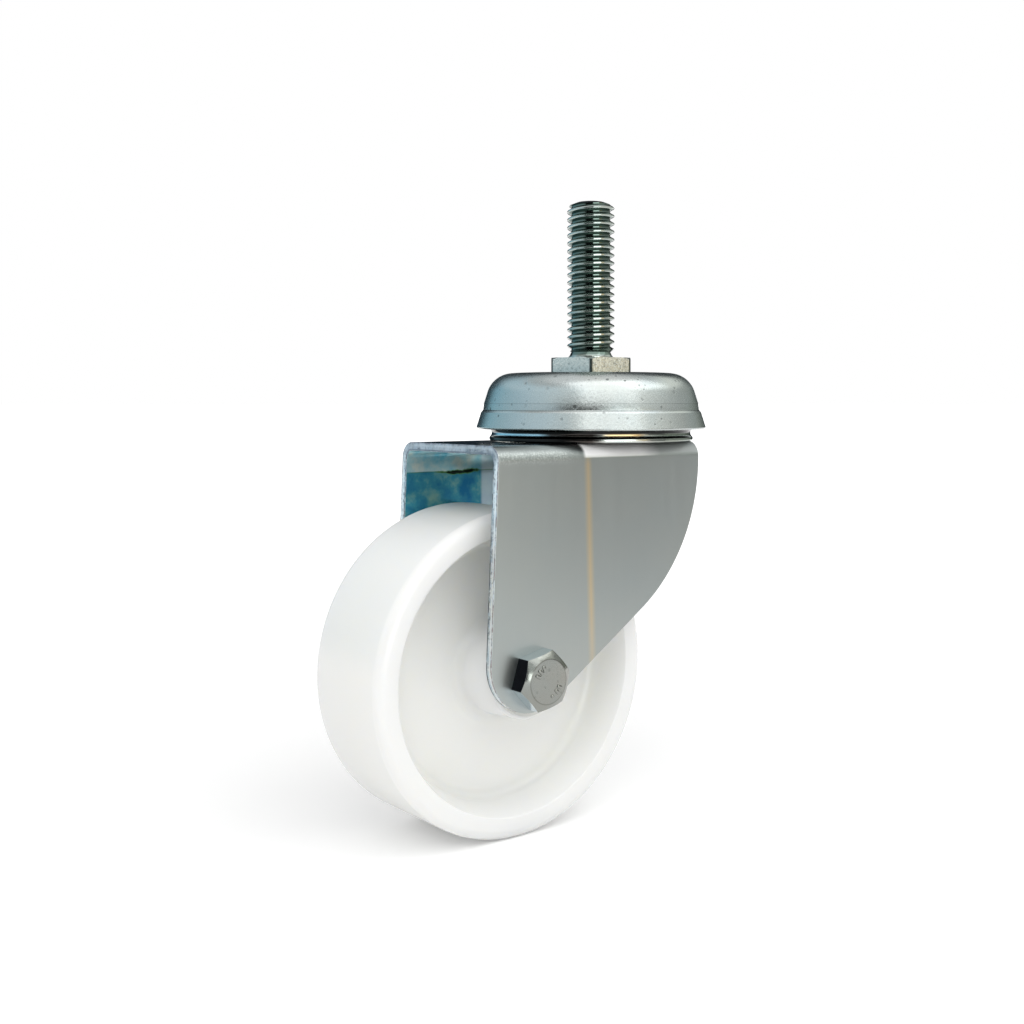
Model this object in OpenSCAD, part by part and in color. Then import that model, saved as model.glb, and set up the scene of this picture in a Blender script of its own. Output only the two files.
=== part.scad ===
// Swivel stem castor: a threaded stem over a double ball race head, a bent plate fork
// and a one-piece nylon wheel on a bolted axle. Millimetres.
// The origin is on the stem's axis, in the top face of the hexagon collar. Z points up
// the stem, X along the travel (the wheel trails towards -X) and Y along the axle.

/* [Stem] */
// Outside diameter of the stem's thread
thread_d = 12.7; // [8:0.1:16]
// Length of the thread above the collar
stem_len = 42; // [20:0.5:80]
// Width of the hexagon collar across its flats
collar_af = 21; // [18:0.5:26]
// Height of the hexagon collar
collar_h = 4.1; // [3:0.1:10]
// Turn of the collar's corners about the stem
collar_turn = 50; // [0:1:60]
// Diameter of the king pin below the collar
king_pin_d = 12; // [9:0.5:14]
// Diameter of the king pin's end that is riveted over
rivet_d = 9; // [6:0.5:10]
// Height of the riveted head
rivet_head_h = 2.8; // [1.5:0.1:4]

/* [Head cap] */
// Diameter of the cap at its rim
cap_d = 61.6; // [58:0.1:72]
// Height of the cap
cap_h = 14.8; // [13:0.1:20]
// Thickness of the cap's sheet
cap_t = 2.2; // [1.5:0.1:2.6]
// Slope of the cap's skirt away from upright
skirt_slope = 15; // [5:1:20]
// Height above the rim of the pressed step round the skirt
step_up = 4.8; // [3.5:0.1:6]
// Width of that step
step_w = 0.5; // [0.2:0.05:1]

/* [Swivel race] */
// Gap between the cap's rim and the top of the fork
swivel_gap = 3.2; // [2:0.1:6]
// Diameter of the upper balls
upper_ball_d = 7.94; // [6:0.01:9]
// Diameter of the lower balls
lower_ball_d = 6.35; // [5:0.01:7]
// Gap between a ball and each of its races
race_gap = 0.12; // [0.05:0.01:0.2]
// Radius of the cap's inner shoulder beyond that of the balls' path in it
ball_room = 0.7; // [0.3:0.05:1.5]
// Inset of the race ring's foot from the cap's rim
ring_inset = 3.5; // [3:0.1:5]
// Thickness of the race ring's sheet
ring_t = 2; // [1.5:0.1:2.2]
// Depth of the hollow rolled round the race ring's wall
waist_depth = 0.6; // [0.2:0.05:0.8]
// Height of that hollow
waist_h = 2.2; // [1.8:0.1:2.4]
// Height of the race ring's foot below the hollow
ring_foot_h = 0.9; // [0.5:0.1:1.2]
// Thickness of the lower race cup's sheet
cup_t = 2; // [1.5:0.1:2.5]
// Gap between the king pin and the race ring's neck
pin_gap = 1; // [0.5:0.1:1.5]

/* [Fork] */
// Gap between each side of the tread and the leg beside it
side_gap = 4.05; // [2:0.05:6]
// Gap between the wheel and the underside of the fork's top
wheel_gap = 13.6; // [10:0.1:20]
// Thickness of the fork's plate
plate_t = 2.2; // [2:0.1:3.5]
// Inside radius of the two bends
bend_r = 1.8; // [1.5:0.1:4]
// Distance that the axle trails behind the stem
trail = 35.2; // [30:0.1:40]
// Reach of the fork's top edge towards the wheel side
front_reach = 46; // [42:0.5:55]
// Reach of the fork on the other side of the stem
rear_reach = 19.6; // [17:0.1:22]
// Radius of the legs' long swept edge
sweep_r = 46; // [36:0.5:52]
// Depth below the fork's top at which that sweep starts
sweep_drop = 4.3; // [2:0.1:10]
// Radius of the legs' round end
leg_end_r = 12; // [11:0.1:14]
// Height of the round end's centre above the axle
leg_end_up = 3.9; // [0:0.1:5]
// Distance of the round end's centre in front of the axle
leg_end_ahead = 1.1; // [0:0.1:2]

/* [Wheel] */
// Diameter of the wheel
wheel_d = 80; // [70:0.5:100]
// Width of the tread
tread_w = 30; // [24:0.5:40]
// Radius of the tread's two shoulders
shoulder_r = 2.5; // [1:0.1:5]
// Width of the flat rim round the recess in each side, its shoulder included
rim_w = 5.5; // [4:0.1:8]
// Thickness of the web
web_t = 10; // [6:0.5:14]
// Slope of the recess's wall away from the axle's direction
recess_slope = 16; // [5:1:20]
// Radius of the fillets at the web
web_fillet_r = 3; // [1:0.1:4]
// Thickness of the hub's wall at its end
hub_wall = 4.3; // [3:0.1:6]
// Slope of the hub's outside away from the axle's direction
hub_slope = 4; // [1:0.5:6]

/* [Axle] */
// Diameter of the axle bolt
bolt_d = 8; // [6:0.5:8]
// Length of the bolt past the nut
bolt_end = 3.9; // [1:0.1:8]
// Width of the bolt's and nut's hexagons across the flats
hex_af = 13; // [11:0.5:14]
// Height of the bolt's head
bolt_head_h = 5.3; // [4:0.1:6]
// Turn of the bolt head's corners about the axle
bolt_turn = 13; // [0:1:60]
// Height of the lock nut
nut_h = 8; // [7.5:0.1:10]
// Thickness of the washer under the nut
nut_washer_t = 1.6; // [1:0.1:2]
// Diameter of the washer under the nut
nut_washer_d = 16; // [15:0.5:18]
// Outside diameter of the axle sleeve
sleeve_d = 12; // [11:0.5:14]
// Running gap between the sleeve and the wheel's bore
bore_gap = 0.08; // [0.04:0.01:0.1]
// Thickness of each thrust washer
thrust_t = 1; // [0.5:0.1:1.5]
// Inset of the thrust washers' rim from the hub's
thrust_inset = 0.9; // [0.3:0.1:2]
// Side gap between the hub and each thrust washer
hub_gap = 0.12; // [0.05:0.01:0.3]

/* [Hidden] */

$fn = 96;
// Gap of pieces that are pressed or clamped together
fit = 0.02;
// Largest angle of one step in the arcs of the turned outlines
arc_angle = 7.5;
// Gap of the bolt in the holes of the legs
bolt_hole_gap = 0.2;
// Width and height of the chamfer at the stem's end
tip_w = 2.4;
tip_h = 1.4;
// Chamfer of the bolt's end and of the nut's collar
bolt_chamfer = 1;
// Edge rounding of the cap's rim
rim_round = 0.5;
// Slope of a hexagon's corner chamfers, and the radius of its round face over its width
hex_chamfer = 30;
collar_face = 0.53;
bolt_face = 0.455;

// Heights on the stem's axis
cap_top_z = -collar_h;
rim_z = cap_top_z - cap_h;
fork_z = rim_z - swivel_gap;
fork_under_z = fork_z - plate_t;
axle_z = fork_under_z - wheel_gap - wheel_d / 2;

// Cap: radii worked inwards from the rim
upper_r = upper_ball_d / 2;
groove_r = upper_r + race_gap;
cap_shoulder_r = cap_t + groove_r + ball_room;
step_h = 0.6;
cap_rim_r = cap_d / 2;
skirt_rise = tan(skirt_slope);
shoulder_z = cap_top_z - cap_shoulder_r;
shoulder_end_z = shoulder_z + cap_shoulder_r * sin(skirt_slope);
cap_flat_r = cap_rim_r - step_w - cap_shoulder_r * cos(skirt_slope)
             - (shoulder_end_z - rim_z - step_h) * skirt_rise;

// Upper balls sit in the inner fillet of the cap's shoulder
seat_shift = ball_room * cos(45);
upper_pitch_r = cap_flat_r + seat_shift;
upper_ball_z = shoulder_z + seat_shift;
upper_ball_n = floor(180 / asin((upper_r + race_gap) / upper_pitch_r));

// Race ring: a pressed dish with a groove, a hollowed outer wall, a foot and a neck
pin_r = king_pin_d / 2;
neck_in_r = pin_r + pin_gap;
neck_r = neck_in_r + ring_t;
groove_in_angle = 210;
groove_out_angle = 308;
ring_wall_r = upper_pitch_r + groove_r * cos(groove_in_angle);
ring_foot_r = cap_rim_r - ring_inset;
ring_foot_gap = 0.1;
bend = 0.8;

// Lower balls run in a groove coined into the fork's underside
lower_r = lower_ball_d / 2;
lower_groove_r = lower_r + race_gap;
coin_depth = 0.4;
race_land = 2.5;
lower_pitch_r = neck_r + race_land;
lower_ball_z = fork_under_z + coin_depth - lower_groove_r;
lower_ball_n = floor(180 / asin((lower_r + race_gap) / lower_pitch_r));
cup_in_angle = 210;
cup_wall_h = 1.2;
cup_floor_z = lower_ball_z + lower_groove_r * sin(cup_in_angle);
cup_under_z = cup_floor_z - cup_t;
cup_out_r = lower_groove_r + cup_t;
cup_under_angle = 180 + asin((lower_ball_z - cup_under_z) / cup_out_r);
rivet_gap = 0.5;
rivet_r = rivet_d / 2;
rivet_head_r = lower_pitch_r + cup_out_r * cos(cup_under_angle) - rivet_gap;
rivet_edge = 0.4;

// Fork
fork_gap = tread_w + 2 * side_gap;
fork_half = fork_gap / 2 + plate_t;
outer_bend_r = bend_r + plate_t;
flat_half = fork_half - outer_bend_r;
lobe_r = norm([rear_reach, flat_half]);
sweep_c = [rear_reach - sweep_r, fork_z - sweep_drop];
end_c = [-trail - leg_end_ahead, axle_z + leg_end_up];
front_top = [-front_reach, fork_z];

// Wheel: edge break of the recess, hub and bore
wheel_edge = 0.5;

// Axle
bolt_r = bolt_d / 2;
bolt_hole_r = bolt_r + bolt_hole_gap;
sleeve_r = sleeve_d / 2;
wheel_bore_r = sleeve_r + bore_gap;
hub_r = wheel_bore_r + hub_wall;
hub_half = fork_gap / 2 - thrust_t - fit - hub_gap;
thrust_r = hub_r - thrust_inset;
nut_y = fork_half + nut_washer_t;
bolt_len = fork_half + nut_y + nut_h + bolt_end;
nut_collar_h = 2;
nut_hex_h = nut_h - nut_collar_h;
nut_collar_inset = 0.3;
nut_collar_r = hex_af / 2 - nut_collar_inset;
insert_h = 2;
insert_t = 0.9;
insert_cover = 0.5;
insert_top = nut_h - insert_cover;

// Points along an arc round c from angle a to angle b
function arc(c, r, a, b) =
    let (n = max(2, ceil(abs(b - a) / arc_angle)))
    [for (i = [0 : n]) c + r * [cos(a + (b - a) * i / n), sin(a + (b - a) * i / n)]];

// Point at angle a on the circle round c
function on_circle(c, r, a) = c + r * [cos(a), sin(a)];

// Angle from point p to point q
function angle_to(p, q) = atan2(q[1] - p[1], q[0] - p[0]);

// A turned piece from an outline of radius and height
module turned(outline) rotate_extrude() polygon(outline);

// Moves a piece that is turned about Z onto the axle, Z towards the far leg
module on_axle() translate([-trail, 0, axle_z]) rotate([-90, 0, 0]) children();

// A hexagon prism, its corners chamfered to a round face at its top, and below if both is set
module hexagon(af, h, face_share, both) {
    corner_r = af / sqrt(3);
    face_r = af * face_share;
    drop = (corner_r - face_r) * tan(hex_chamfer);
    low = both ? drop : 0;
    intersection() {
        cylinder(r = corner_r, h = h, $fn = 6);
        turned([[0, 0], [both ? face_r : corner_r + 1, 0], [corner_r, low],
                [corner_r, h - drop], [face_r, h], [0, h]]);
    }
}

// Balls evenly round a circle
module ball_ring(count, ball_r, pitch_r, z)
    for (i = [0 : count - 1])
        rotate([0, 0, i * 360 / count])
            translate([pitch_r, 0, z])
                sphere(r = ball_r, $fn = 24);

// Stem, collar, king pin and riveted end, turned from one bar
module threaded_stem() {
    thread_r = thread_d / 2;
    edge_z = cup_under_z - rivet_edge;
    color("lightgray") {
        turned([[0, stem_len], [thread_r - tip_w, stem_len],
                [thread_r, stem_len - tip_h], [thread_r, -collar_h / 2],
                [0, -collar_h / 2]]);
        translate([0, 0, -collar_h])
            rotate([0, 0, collar_turn])
                hexagon(collar_af, collar_h, collar_face, false);
        turned([[0, -collar_h], [pin_r, -collar_h], [pin_r, cup_floor_z],
                [rivet_r, cup_floor_z], [rivet_r, cup_under_z],
                [rivet_head_r, cup_under_z],
                for (a = [0 : 15 : 90])
                    [rivet_head_r * cos(a), edge_z - (rivet_head_h - rivet_edge) * sin(a)]]);
    }
}

// Cap: one pressing with a domed shoulder, a stepped skirt and a rounded rim
module head_cap() {
    end_a = skirt_slope;
    shoulder_c = [cap_flat_r, shoulder_z];
    step_z = rim_z + step_up;
    step_low_z = step_z - step_h;
    out_end = on_circle(shoulder_c, cap_shoulder_r, end_a);
    in_end = on_circle(shoulder_c, cap_shoulder_r - cap_t, end_a);
    out_step_r = out_end[0] + (out_end[1] - step_z) * skirt_rise;
    in_step_r = in_end[0] + (in_end[1] - step_z) * skirt_rise;
    in_rim_r = in_step_r + step_w + (step_low_z - rim_z) * skirt_rise;
    rim_c = [cap_rim_r - rim_round, rim_z + rim_round];
    color("gainsboro")
        turned(concat(
            [[pin_r + fit, cap_top_z]],
            arc(shoulder_c, cap_shoulder_r, 90, end_a),
            [[out_step_r, step_z], [out_step_r + step_w, step_low_z]],
            arc(rim_c, rim_round, 0, -90),
            [[in_rim_r, rim_z], [in_step_r + step_w, step_low_z], [in_step_r, step_z]],
            arc(shoulder_c, cap_shoulder_r - cap_t, end_a, 90),
            [[pin_r + fit, cap_top_z - cap_t]]));
}

// Full ring of balls between the cap and the race ring
module upper_balls()
    color("silver") ball_ring(upper_ball_n, upper_r, upper_pitch_r, upper_ball_z);

// Race ring: pressed dish that carries the upper balls on the fork's top, its wall hollowed
module race_ring() {
    ball_c = [upper_pitch_r, upper_ball_z];
    under_r = groove_r + ring_t;
    lip = on_circle(ball_c, groove_r, groove_out_angle);
    top_z = ball_c[1] + groove_r * sin(groove_in_angle);
    foot_z = fork_z + ring_foot_gap;
    foot_r = ring_foot_r;
    wall_t = ring_t / cos(skirt_slope);
    lip_z = lip[1] - ring_t / 2;
    lip_r = foot_r - (lip_z - foot_z) * skirt_rise;
    inner_share = (foot_r - wall_t - ball_c[0] - (ball_c[1] - foot_z) * skirt_rise)
                  * cos(skirt_slope) / under_r;
    under_out_a = 360 + skirt_slope - acos(inner_share);
    under_in_a = 360 - acos((ring_wall_r - ball_c[0]) / under_r);
    waist_r = (waist_h * waist_h / 4 + waist_depth * waist_depth) / (2 * waist_depth);
    waist_a = asin(waist_h / 2 / waist_r);
    waist_c = [foot_r - waist_depth + waist_r, foot_z + ring_foot_h + waist_h / 2];
    color("lightsteelblue")
        turned(concat(
            [[neck_in_r, fork_under_z], [neck_in_r, fork_z + ring_t - bend],
             [neck_in_r + bend, fork_z + ring_t]],
            arc([ring_wall_r - ring_t - bend, fork_z + ring_t + bend], bend, 270, 360),
            [[ring_wall_r - ring_t, top_z - bend], [ring_wall_r - ring_t + bend, top_z]],
            arc(ball_c, groove_r, groove_in_angle, groove_out_angle),
            [[lip_r - bend / 2, lip_z + bend / 2], [lip_r, lip_z - bend / 2]],
            arc(waist_c, waist_r, 180 - waist_a, 180 + waist_a),
            [[foot_r, foot_z], [foot_r - wall_t, foot_z]],
            arc(ball_c, under_r, under_out_a, under_in_a),
            [[ring_wall_r, fork_z + bend], [ring_wall_r - bend, fork_z],
             [neck_r, fork_z], [neck_r, fork_under_z]]));
}

// Side outline of the fork, X across and Z up
module fork_side() {
    reach = sweep_r + leg_end_r;
    span = norm(end_c - sweep_c);
    tangent_a = angle_to(sweep_c, end_c) + acos((sweep_r - leg_end_r) / span);
    front_a = angle_to(end_c, front_top) + acos(leg_end_r / norm(front_top - end_c));
    polygon([front_top, [rear_reach, fork_z], [rear_reach, sweep_c[1]], sweep_c,
             on_circle(sweep_c, sweep_r, tangent_a), on_circle(end_c, leg_end_r, tangent_a),
             end_c, on_circle(end_c, leg_end_r, front_a)]);
    translate(end_c) circle(r = leg_end_r);
    intersection() {
        translate(sweep_c) circle(r = sweep_r);
        polygon([sweep_c, on_circle(sweep_c, reach, 0), on_circle(sweep_c, reach, tangent_a / 2),
                 on_circle(sweep_c, reach, tangent_a)]);
    }
}

// Half section of a bent channel with round top corners, Y across and Z up
module channel(half, top_z, corner_r) {
    low_z = axle_z - 2 * leg_end_r;
    translate([-half, low_z]) square([2 * half, top_z - corner_r - low_z]);
    translate([corner_r - half, low_z]) square([2 * (half - corner_r), top_z - low_z]);
    for (side = [-1, 1])
        translate([side * (half - corner_r), top_z - corner_r]) circle(r = corner_r);
}

// Fork: one plate bent down at both sides, its legs swept to the axle
module fork() {
    past = 1;
    length = front_reach + rear_reach + 2 * leg_end_r;
    color("silver")
        difference() {
            union() {
                intersection() {
                    translate([-front_reach - leg_end_r, 0, 0])
                        rotate([90, 0, 90])
                            linear_extrude(length)
                                difference() {
                                    channel(fork_half, fork_z, outer_bend_r);
                                    channel(fork_gap / 2, fork_under_z, bend_r);
                                }
                    translate([0, fork_half + past, 0])
                        rotate([90, 0, 0])
                            linear_extrude(2 * (fork_half + past))
                                fork_side();
                }
                intersection() {
                    translate([0, 0, fork_under_z]) cylinder(r = lobe_r, h = plate_t);
                    translate([0, -flat_half, fork_under_z])
                        cube([lobe_r + past, 2 * flat_half, plate_t]);
                }
            }
            translate([0, 0, fork_under_z - past])
                cylinder(r = neck_r + fit, h = plate_t + 2 * past);
            rotate_extrude()
                translate([lower_pitch_r, lower_ball_z])
                    circle(r = lower_groove_r, $fn = 48);
            on_axle()
                translate([0, 0, -fork_half - past])
                    cylinder(r = bolt_hole_r, h = 2 * (fork_half + past));
        }
}

// Full ring of balls between the fork's underside and the race cup
module lower_balls()
    color("silver") ball_ring(lower_ball_n, lower_r, lower_pitch_r, lower_ball_z);

// Lower race cup: dished washer that the king pin is riveted over
module lower_race_cup() {
    ball_c = [lower_pitch_r, lower_ball_z];
    color("lightsteelblue")
        turned(concat(
            [[rivet_r + fit, cup_floor_z]],
            arc(ball_c, lower_groove_r, cup_in_angle, 360),
            [[ball_c[0] + lower_groove_r, ball_c[1] + cup_wall_h],
             [ball_c[0] + cup_out_r, ball_c[1] + cup_wall_h]],
            arc(ball_c, cup_out_r, 360, cup_under_angle),
            [[rivet_r + fit, cup_under_z]]));
}

// Half outline of the wheel, from the bore's end out to the middle of the tread
function wheel_half() =
    let (half_w = tread_w / 2, wheel_r = wheel_d / 2, web_half = web_t / 2,
         f = web_fillet_r, recess_r = wheel_r - rim_w,
         wall_foot_r = recess_r - (half_w - web_half) * tan(recess_slope),
         hub_foot_r = hub_r + (hub_half - web_half) * tan(hub_slope),
         out_c = [wall_foot_r - f * tan(45 - recess_slope / 2), web_half + f],
         in_c = [hub_foot_r + f * tan(45 - hub_slope / 2), web_half + f])
    concat(
        [[wheel_bore_r, hub_half - wheel_edge], [wheel_bore_r + wheel_edge, hub_half],
         [hub_r - wheel_edge, hub_half], [hub_r, hub_half - wheel_edge]],
        arc(in_c, f, 180 + hub_slope, 270),
        arc(out_c, f, 270, 360 - recess_slope),
        [[recess_r - wheel_edge * tan(recess_slope), half_w - wheel_edge],
         [recess_r + wheel_edge, half_w]],
        arc([wheel_r - shoulder_r, half_w - shoulder_r], shoulder_r, 90, 0));

// Wheel: one moulding with a rounded tread, a recess in each side and a hub
module wheel()
    color("ivory")
        on_axle()
            let (half = wheel_half())
                turned(concat(half, [for (i = [len(half) - 1 : -1 : 0])
                                         [half[i][0], -half[i][1]]]));

// A plain ring about the axle from y, towards the far leg
module axle_ring(y, h, inner_r, outer_r)
    on_axle()
        translate([0, 0, y])
            difference() {
                cylinder(r = outer_r, h = h);
                translate([0, 0, -h]) cylinder(r = inner_r, h = 3 * h);
            }

// Sleeve that the legs clamp and the wheel turns on
module axle_sleeve()
    color("silver")
        axle_ring(-fork_gap / 2 + fit, fork_gap - 2 * fit, bolt_r + bolt_hole_gap / 2, sleeve_r);

// Thrust washer at the bolt head's leg
module near_thrust_washer()
    color("lightgray")
        axle_ring(-fork_gap / 2 + fit, thrust_t, wheel_bore_r, thrust_r);

// Thrust washer at the nut's leg
module far_thrust_washer()
    color("lightgray")
        axle_ring(fork_gap / 2 - fit - thrust_t, thrust_t, wheel_bore_r, thrust_r);

// Axle bolt with its hexagon head on the near leg
module axle_bolt()
    color("silver")
        on_axle() {
            translate([0, 0, -fork_half])
                rotate([180, 0, 0])
                    rotate([0, 0, bolt_turn])
                        hexagon(hex_af, bolt_head_h, bolt_face, false);
            translate([0, 0, -fork_half - bolt_head_h / 2])
                turned([[0, 0], [bolt_r, 0], [bolt_r, bolt_len + bolt_head_h / 2 - bolt_chamfer],
                        [bolt_r - bolt_chamfer, bolt_len + bolt_head_h / 2],
                        [0, bolt_len + bolt_head_h / 2]]);
        }

// Washer between the far leg and the nut
module nut_washer()
    color("lightgray")
        axle_ring(fork_half, nut_washer_t, bolt_hole_r, nut_washer_d / 2);

// Lock nut: hexagon with a round collar that holds the insert
module lock_nut()
    color("silver")
        on_axle()
            translate([0, 0, nut_y])
                difference() {
                    union() {
                        rotate([0, 0, bolt_turn]) hexagon(hex_af, nut_hex_h, bolt_face, true);
                        turned([[0, nut_hex_h / 2], [nut_collar_r, nut_hex_h / 2],
                                [nut_collar_r, nut_h - bolt_chamfer],
                                [nut_collar_r - bolt_chamfer, nut_h], [0, nut_h]]);
                    }
                    translate([0, 0, -nut_h]) cylinder(r = bolt_r + fit, h = 3 * nut_h);
                    translate([0, 0, insert_top - insert_h])
                        cylinder(r = bolt_r + fit + insert_t, h = insert_h);
                }

// Nylon ring held in the lock nut's collar
module nut_insert()
    color("royalblue")
        axle_ring(nut_y + insert_top - insert_h + fit, insert_h - 2 * fit, bolt_r + fit,
                  bolt_r + insert_t);

threaded_stem();
head_cap();
upper_balls();
race_ring();
fork();
lower_balls();
lower_race_cup();
wheel();
axle_sleeve();
near_thrust_washer();
far_thrust_washer();
axle_bolt();
nut_washer();
lock_nut();
nut_insert();
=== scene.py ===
# Looks of a swivel stem castor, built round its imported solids.
# Outlines are in millimetres and pieces in metres. Z points up the stem, the wheel trails
# towards -X, Y runs along the axle, and the bolt's head is on the -Y leg.
import math

import bmesh
import bpy
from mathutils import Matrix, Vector


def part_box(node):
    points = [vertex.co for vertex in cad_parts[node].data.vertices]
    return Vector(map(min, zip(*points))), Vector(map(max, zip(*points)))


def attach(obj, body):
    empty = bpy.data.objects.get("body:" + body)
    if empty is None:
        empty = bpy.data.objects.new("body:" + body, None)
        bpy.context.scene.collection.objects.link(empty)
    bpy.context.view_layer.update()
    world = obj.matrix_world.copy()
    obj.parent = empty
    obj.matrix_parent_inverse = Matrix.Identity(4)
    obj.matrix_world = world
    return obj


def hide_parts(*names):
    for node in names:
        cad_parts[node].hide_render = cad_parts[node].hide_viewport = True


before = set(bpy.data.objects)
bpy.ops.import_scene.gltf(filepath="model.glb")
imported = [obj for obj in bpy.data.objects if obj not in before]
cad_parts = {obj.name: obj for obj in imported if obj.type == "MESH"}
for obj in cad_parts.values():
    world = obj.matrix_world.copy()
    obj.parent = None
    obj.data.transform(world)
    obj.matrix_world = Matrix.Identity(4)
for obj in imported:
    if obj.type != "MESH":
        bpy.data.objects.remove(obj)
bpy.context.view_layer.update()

MM = 0.001

# Sides of round pieces, from the small ones to those that fill the view
SMALL_SIDES = 64
TIP_SIDES = 80
ROUND_SIDES = 96
PRESSED_SIDES = 160
RING_SIDES = 192
CAP_SIDES = 224
WHEEL_SIDES = 256
THREAD_ANGLE = 60.0
# How far a tool reaches past the piece that it cuts
PAST = 1.0
# Largest share of a side that the rounding of one corner takes
CORNER_SHARE = 0.45
# Corners nearer than this become one, and so do faces that turn less than this from each other
MERGE_WITHIN = 0.002
MERGE_ANGLE = 0.2


def low_high(node):
    """Lowest and highest corner of a solid, in millimetres."""
    low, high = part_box(node)
    return low / MM, high / MM


# Sizes taken from the solids
cap_low, cap_high = low_high("head_cap")
stem_low, stem_high = low_high("threaded_stem")
fork_low, fork_high = low_high("fork")
wheel_low, wheel_high = low_high("wheel")
ring_low, ring_high = low_high("race_ring")
bolt_low, bolt_high = low_high("axle_bolt")
sleeve_low, sleeve_high = low_high("axle_sleeve")
washer_low, washer_high = low_high("nut_washer")
nut_low, nut_high = low_high("lock_nut")
upper_low, upper_high = low_high("upper_balls")
lower_low, lower_high = low_high("lower_balls")
cup_rim_z = low_high("lower_race_cup")[1].z

cap_top_z = cap_high.z
rim_z = cap_low.z
rim_r = cap_high.x
fork_z = fork_high.z
fork_under_z = ring_low.z
fork_half = fork_high.y
plate = fork_z - fork_under_z
wheel_r = (wheel_high.z - wheel_low.z) / 2
axle = Vector((wheel_low.x + wheel_r, 0, wheel_low.z + wheel_r))
floor_z = wheel_low.z

# Stem
THREAD_R = 6.35
THREAD_ROOT_R = 5.25
THREAD_PITCH = 25.4 / 12
THREAD_CREST = 0.2
# A height that the thread's crest passes, and the direction in which it does
THREAD_START = 39.35
THREAD_START_TURN = 141.5
COLLAR_AF = 21.0
COLLAR_TURN = 50.0
# Radius of the collar's round face, as a share of its width across the flats
COLLAR_FACE = 0.53
COLLAR_ROUND = 0.4
KING_PIN_R = 6.0
RIVET_R = 4.5
RIVET_EDGE = 0.4
# Radius and height at the round foot of the stem, and where the thread runs out over it
STEM_FOOT = ((6.0, -2), (6.0, 0.35), (5.75, 0.6), (5.45, 1.2), (THREAD_ROOT_R - 0.1, 1.9))
RUN_OUT = ((5.8, -1.9), (5.8, 0.3), (5.3, 0.8), (5.2, 1.5), (THREAD_R + 0.05, 2.6))
# Inset from the thread's outside and depth below the top at the stem's tip
STEM_TIP = ((-0.05, 1.7), (0.7, 0.85), (2.6, 0.1), (3.2, 0))

# Cap
CAP_T = 2.2
CAP_ROUND = 0.25
SHOULDER_R = 7.0
SKIRT_SLOPE = 15.0
STEP_UP = 4.8
STEP_W = 0.5
STEP_H = 0.6
CREASE_UP = 2.0
CREASE_OUT = 0.12
# Distance out from the crease and up from the step's line at the step's two corners
STEP_CORNERS = ((0.22, 0.25), (0.8, -0.45))
RIM_LAND_H = 0.35
RIM_LAND_W = 0.45
PIN_GAP = 0.02

# Race ring and lower race cup
RING_T = 2.0
RING_ROUND = 0.7
RING_FOOT_GAP = 0.1
RING_FOOT_H = 0.9
WAIST_DEPTH = 0.6
WAIST_H = 2.2
# Directions from a ball's centre where the groove that holds it starts and ends
GROOVE_TURNS = (210, 308)
FOOT_SHELF = 1.2
NECK_GAP = 1.0
LOWER_BALL_OUT = 2.5
CUP_T = 2.0
CUP_ROUND = 0.4
RIVET_HEAD_INSET = 0.5
RACE_GAP = 0.12

# Fork
# Places along X where the bent blank starts and ends before it is cut to its outline
FORK_BLANK = (-80, 60)
BEND_R = 1.8
FRONT_REACH = 46.0
REAR_REACH = 19.6
SWEEP_R = 46.0
SWEEP_DROP = 4.3
LEG_END_R = 12.0
LEG_END = Vector((axle.x - 1.1, axle.z + 3.9))
LOBE_OVERLAP = 4.0
PLATE_ROUND = 0.32
HOLE_R = 4.2

# Wheel
TREAD_HALF = 15.0
TREAD_SHOULDER_R = 2.5
RIM_W = 5.5
RIM_ROUND = 0.45
WEB_HALF = 5.0
WEB_FILLET_R = 3.0
RECESS_SLOPE = 16.0
HUB_WALL = 4.3
HUB_SLOPE = 4.0
HUB_ROUND = 0.5
BORE_GAP = 0.08

# Bolt, nut and washer
BOLT_R = 4.0
BOLT_PITCH = 1.25
BOLT_ROOT_R = 3.35
# The thread stays a little within the plain shank, and the tool that cuts its end stays outside
BOLT_THREAD_R = BOLT_R - 0.02
BOLT_TIP_R = BOLT_R + 0.05
BOLT_THREAD_FROM = 8.0
BOLT_PLAIN_TO = 18.1
BOLT_END_CHAMFER = 0.9
HEX_AF = 13.0
BOLT_TURN = 13.0
HEAD_FACE = 0.41
HEAD_ROUND = 0.12
BAR_H = 0.3
BAR_W = 0.9
BAR_ROUND = 0.26
# Turn, reach and length of each plain bar on the bolt's head
HEAD_BARS = ((112, 3.5, 1.7), (132, 3.5, 1.7), (152, 3.5, 1.7),
             (-26, 3.6, 1.5), (-46, 3.6, 1.5), (-72, 3.7, 0.8))
NUT_FACE = 0.455
NUT_ROUND = 0.1
NUT_COLLAR_H = 2.0
NUT_COLLAR_INSET = 0.3
NUT_COLLAR_ROUND = 1.2
# Depths below the nut's top of the groove that holds the nylon ring
INSERT_BED = (0.5, 2.5)
INSERT_BED_W = 0.92
WASHER_ROUND = 0.25

# Places worked out from the balls and the cup
lower_ball_r = (lower_high.z - lower_low.z) / 2
ring_neck_r = KING_PIN_R + NECK_GAP + RING_T
ring_foot_z = fork_z + RING_FOOT_GAP
ring_foot_top = ring_foot_z + RING_FOOT_H
lower_ball = (ring_neck_r + LOWER_BALL_OUT, (lower_high.z + lower_low.z) / 2)
cup_floor_z = lower_ball[1] - (lower_ball_r + RACE_GAP) / 2
cup_low_flat = cup_floor_z - CUP_T
under_share = (lower_ball[1] - cup_low_flat) / (lower_ball_r + RACE_GAP + CUP_T)
cup_reach = (lower_ball_r + RACE_GAP + CUP_T) * math.sqrt(1 - under_share ** 2)
rivet_head_r = lower_ball[0] - cup_reach - RIVET_HEAD_INSET
bend_y = fork_half - BEND_R - plate


# Outlines

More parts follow.
